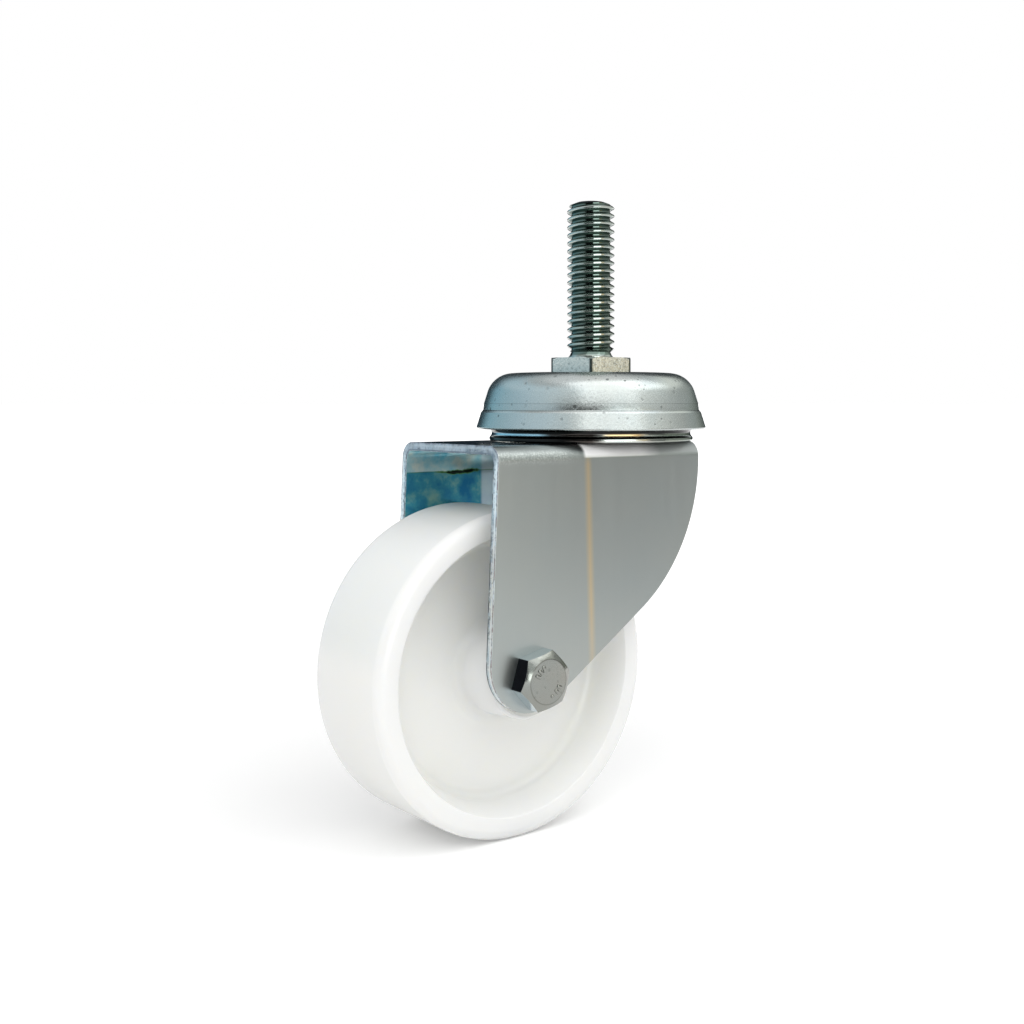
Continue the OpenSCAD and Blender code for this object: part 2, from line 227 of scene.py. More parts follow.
def arc(centre, radius, start, end, step=5.0):
    """Points on an arc, from one angle to another in degrees."""
    count = max(2, math.ceil(abs(end - start) / step))
    angles = [math.radians(start + (end - start) * i / count) for i in range(count + 1)]
    return [(centre[0] + radius * math.cos(a), centre[1] + radius * math.sin(a)) for a in angles]


def rounded(outline, radius, closed=True, steps=4, straight=165.0):
    """The outline with its corners rounded, by less where its sides are short."""
    points = []
    last = len(outline) - 1
    for i, corner in enumerate(outline):
        p = Vector(corner)
        before = Vector(outline[i - 1]) - p
        after = Vector(outline[(i + 1) % len(outline)]) - p
        if (not closed and i in (0, last)) or before.angle(after) > math.radians(straight):
            points.append(corner)
            continue
        half = math.tan(before.angle(after) / 2)
        cut = min(radius / half, CORNER_SHARE * before.length, CORNER_SHARE * after.length)
        a = p + before.normalized() * cut
        b = p + after.normalized() * cut
        for k in range(steps + 1):
            t = k / steps
            points.append(tuple(a * (1 - t) ** 2 + p * 2 * t * (1 - t) + b * t ** 2))
    return points


def regular(sides, radius, turn):
    """Corners of a regular polygon."""
    return [(radius * math.cos(math.radians(turn + 360 * i / sides)),
             radius * math.sin(math.radians(turn + 360 * i / sides))) for i in range(sides)]


# Meshes

def on_stem(x, y, z):
    """A place on the stem's axes, in metres."""
    return Vector((x, y, z)) * MM


def on_axle(x, y, z):
    """A place on the axle's axes, in metres: z runs along the axle."""
    return Vector((axle.x + x, z, axle.z - y)) * MM


def add_mesh(name, points, faces):
    """A new object from points in metres."""
    mesh = bpy.data.meshes.new(name)
    mesh.from_pydata([tuple(p) for p in points], [], faces)
    mesh.validate()
    shape = bmesh.new()
    shape.from_mesh(mesh)
    bmesh.ops.recalc_face_normals(shape, faces=shape.faces)
    shape.to_mesh(mesh)
    shape.free()
    piece = bpy.data.objects.new(name, mesh)
    bpy.context.scene.collection.objects.link(piece)
    return piece


def turned(name, outline, place=on_stem, sides=PRESSED_SIDES):
    """A turned piece from an outline of radius and height. Ends at radius 0 close on the axis."""
    solid = outline[0][0] == 0
    points = []
    rings = []
    for r, h in outline:
        if r == 0:
            rings.append([len(points)])
            points.append(place(0, 0, h))
            continue
        rings.append(list(range(len(points), len(points) + sides)))
        for k in range(sides):
            a = 2 * math.pi * k / sides
            points.append(place(r * math.cos(a), r * math.sin(a), h))
    faces = []
    pairs = list(zip(rings, rings[1:])) + ([] if solid else [(rings[-1], rings[0])])
    for low, high in pairs:
        for k in range(sides):
            n = (k + 1) % sides
            corners = [low[k % len(low)], low[n % len(low)], high[n % len(high)], high[k % len(high)]]
            faces.append([c for j, c in enumerate(corners) if c != corners[j - 1]])
    return add_mesh(name, points, faces)


def prism(name, outline, place, low, high):
    """A straight prism. place takes the outline's two numbers and the height."""
    count = len(outline)
    points = [place(a, b, h) for h in (low, high) for a, b in outline]
    sides = [[k, (k + 1) % count, count + (k + 1) % count, count + k] for k in range(count)]
    return add_mesh(name, points, [list(range(count)), list(range(count, 2 * count))] + sides)


def settle(piece):
    """Puts the result of a piece's modifiers into its mesh."""
    bpy.context.view_layer.update()
    view = bpy.context.evaluated_depsgraph_get()
    mesh = bpy.data.meshes.new_from_object(piece.evaluated_get(view))
    piece.modifiers.clear()
    piece.data = mesh
    return piece


def combine(piece, operation, *tools):
    """Joins tools to a piece, cuts them out of it or keeps what they share."""
    for tool in tools:
        step = piece.modifiers.new(operation, "BOOLEAN")
        step.operation = operation
        step.solver = "EXACT"
        step.object = tool
        settle(piece)
        bpy.data.objects.remove(tool)
    return piece


def bevelled(piece, width, segments=3, angle=28.0):
    """Rounds the sharp edges of a piece."""
    shape = bmesh.new()
    shape.from_mesh(piece.data)
    bmesh.ops.remove_doubles(shape, verts=shape.verts, dist=MERGE_WITHIN * MM)
    bmesh.ops.dissolve_limit(shape, angle_limit=math.radians(MERGE_ANGLE), verts=shape.verts,
                             edges=shape.edges)
    shape.to_mesh(piece.data)
    shape.free()
    bevel = piece.modifiers.new("edges", "BEVEL")
    bevel.width = width * MM
    bevel.segments = segments
    bevel.limit_method = "ANGLE"
    bevel.angle_limit = math.radians(angle)
    return settle(piece)


def smooth(piece, angle=32.0):
    """Smooth shading that stays sharp at the edges."""
    piece.data.shade_smooth()
    piece.data.set_sharp_from_angle(angle=math.radians(angle))
    weigh = piece.modifiers.new("normals", "WEIGHTED_NORMAL")
    weigh.keep_sharp = True
    return settle(piece)


def helix(name, crest_r, root_r, pitch, low, high, start, start_turn, place, sides=ROUND_SIDES,
          crest_share=0.125):
    """A threaded rod whose crest passes height start at the turn start_turn."""
    flank_slope = math.tan(math.radians(THREAD_ANGLE / 2))
    flank = (crest_r - root_r) * flank_slope
    crest = crest_share * pitch
    root = pitch - crest - 2 * flank
    # The crest has eased corners of this size, and the root is very slightly hollow
    nose = 0.06 * pitch
    profile = [(root_r, 0), (root_r - nose / 6, root / 2), (root_r, root),
               (crest_r - nose, root + flank - nose * flank_slope),
               (crest_r, root + flank + nose / 2), (crest_r, root + flank + crest - nose / 2),
               (crest_r - nose, root + flank + crest + nose * flank_slope)]
    crest_mid = root + flank + crest / 2
    turns_below = math.ceil((start + crest_mid - low) / pitch) + 1
    first = start - crest_mid - turns_below * pitch
    turns = math.ceil((high - first) / pitch) + 1
    width = len(profile)
    points = []
    for i in range(turns * sides + 1):
        a = math.radians(start_turn) + 2 * math.pi * i / sides
        for r, up in profile:
            points.append(place(r * math.cos(a), r * math.sin(a), first + up + pitch * i / sides))
    faces = []
    for i in range(turns * sides):
        for j in range(width - 1):
            k = i * width + j
            faces.append([k, k + width, k + width + 1, k + 1])
        if i + sides < turns * sides:
            k = i * width + width - 1
            above = (i + sides) * width
            faces.append([k, k + width, above + width, above])
    below = len(points)
    points.append(place(0, 0, first))
    over = len(points)
    points.append(place(0, 0, first + pitch * (turns + 1)))
    end = turns * sides
    foot = [i * width for i in range(sides + 1)] + [j for j in range(width - 1, 0, -1)]
    top = ([(end - sides + i) * width + width - 1 for i in range(sides + 1)]
           + [end * width + j for j in range(width - 2, -1, -1)])
    for loop, tip in ((foot, below), (top, over)):
        for k in range(len(loop)):
            faces.append([loop[k], loop[(k + 1) % len(loop)], tip])
    return add_mesh(name, points, faces)


def hexagon(name, af, low, high, turn, face_share, place, both=False, slope=30.0):
    """A hexagon whose corners are chamfered to a round face at its top, or at both ends."""
    corner = af / math.sqrt(3)
    face = af * face_share
    fall = math.tan(math.radians(slope))
    drop = (corner - face) * fall
    if both:
        side_r = corner + 0.01
        foot = [(0, low), (face, low), (side_r, low + drop), (side_r, high - drop)]
    else:
        side_r = corner + PAST
        foot = [(0, low), (side_r, low), (side_r, high - drop - PAST * fall)]
    block = prism(name, regular(6, corner, turn), place, low - PAST, high + PAST)
    return combine(block, "INTERSECT", turned("chamfer", foot + [(face, high), (0, high)], place))


# Pieces

def make_stem():
    """Threaded stem, hexagon collar and riveted king pin in one."""
    top = stem_high.z
    tip = [(THREAD_R - inset, top - depth) for inset, depth in STEM_TIP]
    thread = helix("threaded_stem_look", THREAD_R, THREAD_ROOT_R, THREAD_PITCH, -PAST, top,
                   THREAD_START, THREAD_START_TURN, on_stem, crest_share=THREAD_CREST)
    envelope = [(0, RUN_OUT[0][1]), *RUN_OUT, *tip, (0, top)]
    combine(thread, "INTERSECT", turned("envelope", envelope, sides=ROUND_SIDES))
    foot = turned("foot", [(0, STEM_FOOT[0][1]), *STEM_FOOT, (0, STEM_FOOT[-1][1])], sides=ROUND_SIDES)
    collar = hexagon("collar", COLLAR_AF, cap_top_z, 0, COLLAR_TURN, COLLAR_FACE, on_stem)
    pin = [(0, cap_top_z / 2), (KING_PIN_R, cap_top_z / 2), (KING_PIN_R, cup_floor_z),
           (RIVET_R, cup_floor_z), (RIVET_R, cup_low_flat), (rivet_head_r, cup_low_flat)]
    dome = cup_low_flat - RIVET_EDGE
    pin += [(rivet_head_r * math.cos(math.radians(a)),
             dome - (dome - stem_low.z) * math.sin(math.radians(a))) for a in range(0, 90, 10)]
    pin += [(0, stem_low.z)]
    combine(thread, "UNION", foot, bevelled(collar, COLLAR_ROUND, 4),
            turned("pin", pin, sides=ROUND_SIDES))
    return smooth(thread, 40)


def make_cap():
    """Pressed cap: domed shoulder, a fine crease and a step round its skirt, rounded rim."""
    slope = math.radians(SKIRT_SLOPE)
    rise = math.tan(slope)
    step_z = rim_z + STEP_UP
    shoulder_z = cap_top_z - SHOULDER_R
    end_z = shoulder_z + SHOULDER_R * math.sin(slope)
    flat_r = rim_r - STEP_W - SHOULDER_R * math.cos(slope) - (end_z - rim_z - STEP_H) * rise
    centre = (flat_r, shoulder_z)
    inner_end = arc(centre, SHOULDER_R - CAP_T, SKIRT_SLOPE, 90)
    inner_r = inner_end[0][0]
    crease_z = step_z + CREASE_UP
    crease_r = flat_r + SHOULDER_R * math.cos(slope) + (end_z - crease_z) * rise + CREASE_OUT
    outer = ([(KING_PIN_R + PIN_GAP, cap_top_z)] + arc(centre, SHOULDER_R, 90, SKIRT_SLOPE, 3)
             + [(crease_r, crease_z)]
             + [(crease_r + out, step_z + up) for out, up in STEP_CORNERS]
             + [(rim_r, rim_z + RIM_LAND_H), (rim_r - RIM_LAND_W, rim_z)])
    inner = [(rim_r - CAP_T, rim_z),
             (inner_r + STEP_W + (end_z - step_z + STEP_H) * rise, step_z - STEP_H),
             (inner_r + (end_z - step_z) * rise, step_z)]
    inner += inner_end + [(KING_PIN_R + PIN_GAP, cap_top_z - CAP_T)]
    return smooth(turned("head_cap_look", rounded(outer + inner, CAP_ROUND, steps=3), sides=CAP_SIDES))


def make_ring():
    """Race ring: neck, floor, wall, ball groove and hollowed outer wall pressed in one."""
    ball_r = (upper_high.z - upper_low.z) / 2 + RACE_GAP
    ball = (upper_high.x - ball_r + RACE_GAP, (upper_high.z + upper_low.z) / 2)
    rise = math.tan(math.radians(SKIRT_SLOPE))
    neck = ring_neck_r
    foot = ring_high.x
    wall = ball[0] + ball_r * math.cos(math.radians(GROOVE_TURNS[0]))
    lip = arc(ball, ball_r, *GROOVE_TURNS)
    lip_z = lip[-1][1] - RING_T / 2
    lip_r = foot - (lip_z - fork_z) * rise
    waist_r = (WAIST_H ** 2 / 4 + WAIST_DEPTH ** 2) / (2 * WAIST_DEPTH)
    waist_turn = math.degrees(math.asin(WAIST_H / 2 / waist_r))
    waist = (foot - WAIST_DEPTH + waist_r, ring_foot_top + WAIST_H / 2)
    under = ball_r + RING_T
    start = 360 - math.degrees(math.acos((foot - RING_T - ball[0] - FOOT_SHELF) / under))
    stop = 360 - math.degrees(math.acos((wall - ball[0]) / under))
    outline = ([(neck - RING_T, fork_under_z), (neck - RING_T, fork_z + RING_T),
                (wall - RING_T, fork_z + RING_T), (wall - RING_T, lip[0][1])] + lip
               + [(lip_r, lip_z), (foot, ring_foot_top + WAIST_H)]
               + arc(waist, waist_r, 180 - waist_turn, 180 + waist_turn, 8)[1:-1]
               + [(foot, ring_foot_top), (foot, ring_foot_z), (foot - RING_T, ring_foot_z)]
               + arc(ball, under, start, stop)
               + [(wall, fork_z), (neck, fork_z), (neck, fork_under_z)])
    return smooth(turned("race_ring_look", rounded(outline, RING_ROUND), sides=RING_SIDES))


def leg_outline():
    """Side outline of the fork: X, Z."""
    sweep = Vector((REAR_REACH - SWEEP_R, fork_z - SWEEP_DROP))
    front = Vector((-FRONT_REACH, fork_z))
    across = LEG_END - sweep
    tangent = (math.degrees(math.atan2(across.y, across.x))
               + math.degrees(math.acos((SWEEP_R - LEG_END_R) / across.length)))
    up = front - LEG_END
    front_turn = (math.degrees(math.atan2(up.y, up.x))
                  + math.degrees(math.acos(LEG_END_R / up.length)))
    return ([tuple(front)] + arc(LEG_END, LEG_END_R, front_turn, 360 + tangent, 3)
            + arc(sweep, SWEEP_R, tangent, 0, 1.5) + [(REAR_REACH, fork_z)])


def channel_outline(half, top, corner, low):
    """Section of the bent plate, Y across and Z up, without its open side."""
    centre_z = top - corner
    return (arc((half - corner, centre_z), corner, 0, 90, 4.5)
            + arc((corner - half, centre_z), corner, 90, 180, 4.5) + [(-half, low), (half, low)])


def make_fork():
    """Fork: the plate bent at both sides, cut to its side outline, with its holes."""
    low = fork_low.z - 2 * PAST
    gap_half = fork_half - plate

    def along(y, z, x):
        return Vector((x, y, z)) * MM

    def across(x, z, y):
        return Vector((x, y, z)) * MM

    front, back = FORK_BLANK
    fork = prism("fork_look", channel_outline(fork_half, fork_z, BEND_R + plate, low), along, front, back)
    hollow = prism("hollow", channel_outline(gap_half, fork_under_z, BEND_R, low - 2 * PAST), along,
                   front - 10 * PAST, back + 10 * PAST)
    side = prism("side", leg_outline(), across, -fork_half - 2 * PAST, fork_half + 2 * PAST)
    combine(fork, "DIFFERENCE", hollow)
    combine(fork, "INTERSECT", side)
    lobe_r = math.hypot(REAR_REACH, bend_y)
    lobe_turn = math.degrees(math.atan2(bend_y, REAR_REACH))
    lobe_foot = REAR_REACH - LOBE_OVERLAP
    lobe = prism("lobe", [(lobe_foot, -bend_y)] + arc((0, 0), lobe_r, -lobe_turn, lobe_turn, 3)
                 + [(lobe_foot, bend_y)], on_stem, fork_under_z, fork_z)
    combine(fork, "UNION", lobe)
    neck_r = ring_neck_r + PIN_GAP
    combine(fork, "DIFFERENCE",
            turned("neck_hole", [(0, fork_under_z - PAST), (neck_r, fork_under_z - PAST),
                                 (neck_r, fork_z + PAST), (0, fork_z + PAST)], sides=ROUND_SIDES),
            turned("coin", arc(lower_ball, lower_ball_r + RACE_GAP, 0, 345, 15), sides=ROUND_SIDES),
            turned("bolt_holes", [(0, -fork_half - PAST), (HOLE_R, -fork_half - PAST),
                                  (HOLE_R, fork_half + PAST), (0, fork_half + PAST)],
                   on_axle, SMALL_SIDES))
    return smooth(bevelled(fork, PLATE_ROUND), 30)


def make_cup():
    """Dished washer that the king pin is riveted over."""
    inner = lower_ball_r + RACE_GAP
    outer = inner + CUP_T
    floor_turn = 180 + math.degrees(math.asin((lower_ball[1] - cup_floor_z) / inner))
    under_turn = 180 + math.degrees(math.asin((lower_ball[1] - cup_low_flat) / outer))
    outline = ([(RIVET_R + PIN_GAP, cup_floor_z)] + arc(lower_ball, inner, floor_turn, 360)
               + [(lower_ball[0] + inner, cup_rim_z), (lower_ball[0] + outer, cup_rim_z)]
               + arc(lower_ball, outer, 360, under_turn) + [(RIVET_R + PIN_GAP, cup_low_flat)])
    return smooth(turned("lower_race_cup_look", rounded(outline, CUP_ROUND, steps=3)))


def make_wheel():
    """Nylon wheel: rounded tread shoulders, a dished recess in each side and a hub."""
    hub_half = wheel_high.y
    bore = (sleeve_high.x - sleeve_low.x) / 2 + BORE_GAP
    hub_r = bore + HUB_WALL
    recess_r = wheel_r - RIM_W
    wall_foot = recess_r - (TREAD_HALF - WEB_HALF) * math.tan(math.radians(RECESS_SLOPE))
    hub_foot = hub_r + (hub_half - WEB_HALF) * math.tan(math.radians(HUB_SLOPE))
    fillet = WEB_FILLET_R
    out_c = (wall_foot - fillet * math.tan(math.radians(45 - RECESS_SLOPE / 2)), WEB_HALF + fillet)
    in_c = (hub_foot + fillet * math.tan(math.radians(45 - HUB_SLOPE / 2)), WEB_HALF + fillet)
    shoulder = wheel_r - TREAD_SHOULDER_R
    hub_end = [(bore, 0), (bore, hub_half), (hub_r, hub_half), in_c]
    rim_end = [out_c, (recess_r, TREAD_HALF), (shoulder, TREAD_HALF)]
    half = (rounded(hub_end, HUB_ROUND, closed=False)[1:-1]
            + arc(in_c, fillet, 180 + HUB_SLOPE, 270) + arc(out_c, fillet, 270, 360 - RECESS_SLOPE)
            + rounded(rim_end, RIM_ROUND, closed=False)[1:-1]
            + arc((shoulder, TREAD_HALF - TREAD_SHOULDER_R), TREAD_SHOULDER_R, 90, 0, 7.5))
    outline = half + [(r, -y) for r, y in reversed(half)]
    return smooth(turned("wheel_look", outline, on_axle, WHEEL_SIDES), 40)


def make_bolt():
    """Axle bolt: hexagon head with raised plain marks, shank and threaded end."""
    head_y = bolt_low.y
    face = head_y + BAR_H

    def from_head(x, y, h):
        return on_axle(x, -y, -h)

    head = hexagon("head", HEX_AF, fork_half, -face, BOLT_TURN, HEAD_FACE, from_head)
    bevelled(head, HEAD_ROUND)
    for turn, reach, length in HEAD_BARS:
        along = Vector((math.cos(math.radians(turn)), math.sin(math.radians(turn))))
        aside = Vector((-along.y, along.x)) * BAR_W / 2
        near, far = along * (reach - length / 2), along * (reach + length / 2)
        corners = [tuple(corner) for corner in (near - aside, far - aside, far + aside, near + aside)]
        bar = prism("bar", corners, from_head, -face - BAR_H, -head_y)
        combine(head, "UNION", bevelled(bar, BAR_ROUND, 3))
    end = bolt_high.y
    shank = helix("axle_bolt_look", BOLT_THREAD_R, BOLT_ROOT_R, BOLT_PITCH, fork_half - 2 * PAST, end,
                  0, 0, on_axle, SMALL_SIDES)
    tip = turned("bolt_end", [(0, BOLT_THREAD_FROM), (BOLT_TIP_R, BOLT_THREAD_FROM),
                              (BOLT_TIP_R, end - BOLT_END_CHAMFER),
                              (BOLT_R - BOLT_END_CHAMFER, end), (0, end)], on_axle, TIP_SIDES)
    combine(shank, "INTERSECT", tip)
    plain = turned("plain", [(0, -fork_half - PAST), (BOLT_R, -fork_half - PAST),
                             (BOLT_R, BOLT_PLAIN_TO), (0, BOLT_PLAIN_TO)], on_axle, ROUND_SIDES)
    combine(shank, "UNION", plain, head)
    return smooth(shank, 40)


def make_nut():
    """Lock nut: hexagon, and the round collar that holds the nylon ring."""
    foot = nut_low.y
    top = nut_high.y
    hex_top = top - NUT_COLLAR_H
    nut = hexagon("lock_nut_look", HEX_AF, foot, hex_top, BOLT_TURN, NUT_FACE, on_axle, both=True)
    bevelled(nut, NUT_ROUND)
    collar_r = HEX_AF / 2 - NUT_COLLAR_INSET
    collar_edge = [(collar_r, hex_top - NUT_COLLAR_H), (collar_r, top), (BOLT_R, top)]
    collar = turned("collar", [(0, hex_top - NUT_COLLAR_H)]
                    + rounded(collar_edge, NUT_COLLAR_ROUND, closed=False) + [(0, top)],
                    on_axle, ROUND_SIDES)
    combine(nut, "UNION", collar)
    bore = BOLT_R + PIN_GAP
    bed = BOLT_R + INSERT_BED_W
    bed_top, bed_low = (top - depth for depth in INSERT_BED)
    combine(nut, "DIFFERENCE",
            turned("bore", [(0, foot - PAST), (bore, foot - PAST), (bore, bed_low), (bed, bed_low),
                            (bed, bed_top), (bore, bed_top), (bore, top + PAST), (0, top + PAST)],
                   on_axle, SMALL_SIDES))
    return smooth(nut, 35)


def make_washer():
    """Washer under the nut."""
    outer = (washer_high.x - washer_low.x) / 2
    outline = [(HOLE_R, washer_low.y), (outer, washer_low.y), (outer, washer_high.y),
               (HOLE_R, washer_high.y)]
    return smooth(turned("nut_washer_look", rounded(outline, WASHER_ROUND), on_axle, ROUND_SIDES))


stem = make_stem()
cap = make_cap()
ring = make_ring()
fork = make_fork()
cup = make_cup()
wheel = make_wheel()
bolt = make_bolt()
nut = make_nut()
washer = make_washer()


# Colours of the films, stains and marks on the pieces, and of the painted shade, shadows, highlights and
# reflections among them
PIT = (0.1, 0.11, 0.11, 1)
# Painted shade along the cap's creases and on the cap's inside
CREASE_SHADE = (0.05, 0.06, 0.06, 1)
CAP_INSIDE_SHADE = (0.05, 0.055, 0.055, 1)
# Painted shadow on the race ring close under the cap's rim
CAP_RIM_SHADOW = (0.02, 0.02, 0.02, 1)
# Painted reflections on the race ring's wall and foot; the black one on its foot is painted shadow
BLUE_REFLECTION = (0.5, 0.78, 0.95, 1)
GREEN_REFLECTION = (0.13, 0.17, 0.13, 1)
BROWN_REFLECTION = (0.045, 0.035, 0.03, 1)
BLACK_FOOT_SHADOW = (0.03, 0.03, 0.03, 1)
AMBER_REFLECTION = (0.62, 0.42, 0.18, 1)
# Painted shade on the thread's flanks
FLANK_SHADE = (0.13, 0.175, 0.155, 1)
SAWN = (0.85, 0.86, 0.84, 1)
# Painted shade on the collar's corners
COLLAR_CORNER_SHADE = (0.01, 0.02, 0.02, 1)
COLLAR_GRAIN = (0.12, 0.15, 0.16, 1)
# Painted reflections on the bolt head's flats: pale, and dark on one
PALE_FLAT_REFLECTION = (0.66, 0.74, 0.8, 1)
DARK_FLAT_REFLECTION = (0.02, 0.022, 0.03, 1)
FACE_LINE = (0.06, 0.055, 0.045, 1)
STREAK = (0.33, 0.35, 0.35, 1)
# Painted reflection: a warm upright line on the near leg
WARM_LINE_REFLECTION = (0.66, 0.52, 0.3, 1)
# Painted highlight on the near bend, and painted shade beside it
BEND_HIGHLIGHT = (1.0, 1.0, 0.99, 1)
BEND_SHADE = (0.2, 0.22, 0.22, 1)
SCUFFED = (0.62, 0.66, 0.65, 1)
# Painted reflections inside the fork: pale on the far leg, and a dark line with a green border below the
# pale band
FAR_LEG_REFLECTION = (0.8, 0.88, 0.95, 1)
DARK_LINE_REFLECTION_EDGE = (0.12, 0.3, 0.03, 1)
DARK_LINE_REFLECTION = (0.004, 0.02, 0.008, 1)
NEAR_LEG_FILM = (0.55, 0.6, 0.61, 1)
TORN_PIT = (0.1, 0.13, 0.17, 1)
TORN_HOLLOW = (0.16, 0.2, 0.25, 1)
EDGE_DASH = (0.04, 0.06, 0.07, 1)
EDGE_RUST = (0.26, 0.15, 0.13, 1)
# Painted highlight line along the cut edge
EDGE_HIGHLIGHT = (0.93, 0.96, 0.97, 1)
EDGE_TOP_DARK = (0.12, 0.15, 0.19, 1)
EDGE_TOP_PALE = (0.36, 0.4, 0.47, 1)

# Height, half width and darkness of the painted shade along each fine crease round the cap
CAP_CREASE_SHADES = ((rim_z + STEP_UP + 0.1, 0.16, 0.75), (rim_z + STEP_UP + 1.9, 0.14, 0.3))
# Direction, reach to either side, share on the wall, share on the foot and colour of each painted reflection
# on the race ring; the black one on the foot is painted shadow
RING_REFLECTIONS_AND_SHADOW = ((175, 42, 0.9, 0.2, BLUE_REFLECTION), (-60, 40, 0.8, 0.6, GREEN_REFLECTION),
               (-141, 19, 0.95, 0.95, BROWN_REFLECTION), (-174, 44, 0.0, 1.0, BLACK_FOOT_SHADOW),
               (-112, 13, 0.8, 0.0, AMBER_REFLECTION))
# Heights over the race ring's foot where the painted reflections on its wall begin
WALL_REFLECTION_FROM = (0.2, 0.7)
# Depths below the cap's rim where the painted shadow under it begins
CAP_RIM_SHADOW_FROM = (1.2, 0.8)
# Heights between which the collar gives way to the thread, and depths in from the thread's
# outside where the painted shade on its flanks comes in
THREAD_FROM = (0.1, 0.9)
FLANK_SHADE_FROM = (0.1, 0.3)
# Distances from the axis between which painted shade darkens the collar's corners
COLLAR_CORNER_SHADE_R = (11.87, 11.93)
# Distances from the axle between which the flats of the bolt's head begin
HEAD_SIDE_R = (6.2, 6.3)
# Place along X of the painted reflection line at its top and foot, and its half width
REFLECTED_LINE_X = (-18.9, -17.5)
REFLECTED_LINE_HALF = 1.425
# Depths below the fork's top where the painted reflection line has its top and foot, comes in and fades
REFLECTED_LINE_DEPTHS = (3, 52)
REFLECTED_LINE_COMES_IN = (2, 5)
REFLECTED_LINE_FADES = (58, 40)
REFLECTED_LINE_FAINT = 0.35
# Depths below the fork's top where the painted highlight and shade on the near bend begin and where the
# highlight turns from metal to matte white
NEAR_BEND = (3.6, 3.2)
BEND_HIGHLIGHT_MATTE = (3.1, 2.7)
# Places along X where the painted highlight on the near bend starts and where it fades
BEND_HIGHLIGHT_FROM = (-20.3, -19.3)
BEND_HIGHLIGHT_TO = (6.0, -1.0)
# Places along X where the coarse part of the bends starts and where it is coarsest, and the
# depths below the fork's top between which it comes in at its foot and at its top
COARSE_FROM = (-20.3, -26.0)
COARSE_FOOT = (5.0, 3.4)
COARSE_TOP = (0.9, 2.2)
# Depths below the fork's top where its flat face begins and where the cut edge turns dark
FLAT_TOP = (0.5, 0.1)
EDGE_TOP = (4.5, 2.5)
# Depth of the painted pale reflection under the fork's top, and how far its lower edge wavers
PALE_REFLECTION_DEPTH = 6.0
PALE_REFLECTION_WAVER = 0.6
# Places along X where the painted dark reflection line below the pale reflection starts and ends, each with
# its fade
DARK_LINE_FROM = (-38.0, -32.0)
DARK_LINE_TO = (-23.2, -24.2)
# Distances in from the dark line's outline where its green border and its black middle come in
DARK_LINE_BORDER = (-0.2, 0.05)
DARK_LINE_MIDDLE = (0.1, 0.25)
# Places along X where the painted pale reflection on the far leg's inside starts
FAR_LEG_REFLECTION_FROM = (-23.0, -22.2)
# Share by which the inside's film still shines as metal
INSIDE_METAL = 0.6


# Shader nodes

def node(tree, kind, inputs=None, **settings):
    """A node with its settings, and its inputs set or linked by name."""
    made = tree.nodes.new(kind)
    for key, value in settings.items():
        setattr(made, key, value)
    for key, value in (inputs or {}).items():
        if isinstance(value, bpy.types.NodeSocket):
            tree.links.new(value, made.inputs[key])
        else:
            made.inputs[key].default_value = value
    return made


def maths(tree, operation, a, b=0.0):
    """One step of arithmetic."""
    return node(tree, "ShaderNodeMath", {0: a, 1: b}, operation=operation).outputs[0]


def times(tree, *values):
    """Product of several values."""
    product = values[0]
    for value in values[1:]:
        product = maths(tree, "MULTIPLY", product, value)
    return product


def off_line(tree, value, line):
    """Distance of a value from a line, to either side."""
    return maths(tree, "ABSOLUTE", maths(tree, "SUBTRACT", value, line))


def vectors(tree, operation, a, b=(0, 0, 0), result="Vector"):
    """One step of arithmetic on positions or directions."""
    return node(tree, "ShaderNodeVectorMath", {0: a, 1: b}, operation=operation).outputs[result]


def axes_of(tree, place):
    """The X, Y and Z of a position or a normal."""
    return node(tree, "ShaderNodeSeparateXYZ", {0: place}).outputs


def spread(tree, value, low, high, to_low=0.0, to_high=1.0):
    """A value stretched from one range to another and held there."""
    made = node(tree, "ShaderNodeMapRange",
                {"Value": value, "From Min": low, "From Max": high, "To Min": to_low, "To Max": to_high})
    return made.outputs["Result"]


def spread_mm(tree, value, low, high, to_low=0.0, to_high=1.0):
    """The same for a place on a piece, with the range's ends in millimetres."""
    return spread(tree, value, low * MM, high * MM, to_low, to_high)


def down_fork(tree, height, start, stop, to_low=0.0, to_high=1.0):
    """The same for a height, between two depths below the fork's top."""
    return spread_mm(tree, height, fork_z - start, fork_z - stop, to_low, to_high)


def mixed(tree, share, a, b):
    """Colour b over colour a by a share."""
    return node(tree, "ShaderNodeMix", {0: share, 6: a, 7: b}, data_type="RGBA").outputs[2]


def noise(tree, place, scale, detail=2.0, rough=0.5):
    """Smooth noise over a place. Scale is the number of waves in a metre."""
    return node(tree, "ShaderNodeTexNoise", {"Vector": place, "Scale": scale, "Detail": detail,
                                             "Roughness": rough}).outputs["Fac"]


def effect(name, inputs, outputs):
    """A new node group with named inputs and outputs."""
    tree = bpy.data.node_groups.new(name, "ShaderNodeTree")
    kinds = {float: "NodeSocketFloat", tuple: "NodeSocketColor"}
    for label, value in inputs.items():
        made = tree.interface.new_socket(label, in_out="INPUT", socket_type=kinds[type(value)])
        made.default_value = value
    for label, kind in outputs.items():
        tree.interface.new_socket(label, in_out="OUTPUT", socket_type=kinds[kind])
    return tree, tree.nodes.new("NodeGroupInput").outputs, tree.nodes.new("NodeGroupOutput").inputs


def use(tree, group, **inputs):
    """A group placed in a material with its own values."""
    made = node(tree, "ShaderNodeGroup", node_tree=group)
    for key, value in inputs.items():
        made.inputs[key].default_value = value
    return made.outputs


# Places on a piece

def place_of(tree):
    """Position on the piece, in metres of its own frame."""
    return node(tree, "ShaderNodeTexCoord").outputs["Object"]


def normal_of(tree):
    """Direction that the surface faces, in the piece's own frame."""
    return node(tree, "ShaderNodeTexCoord").outputs["Normal"]


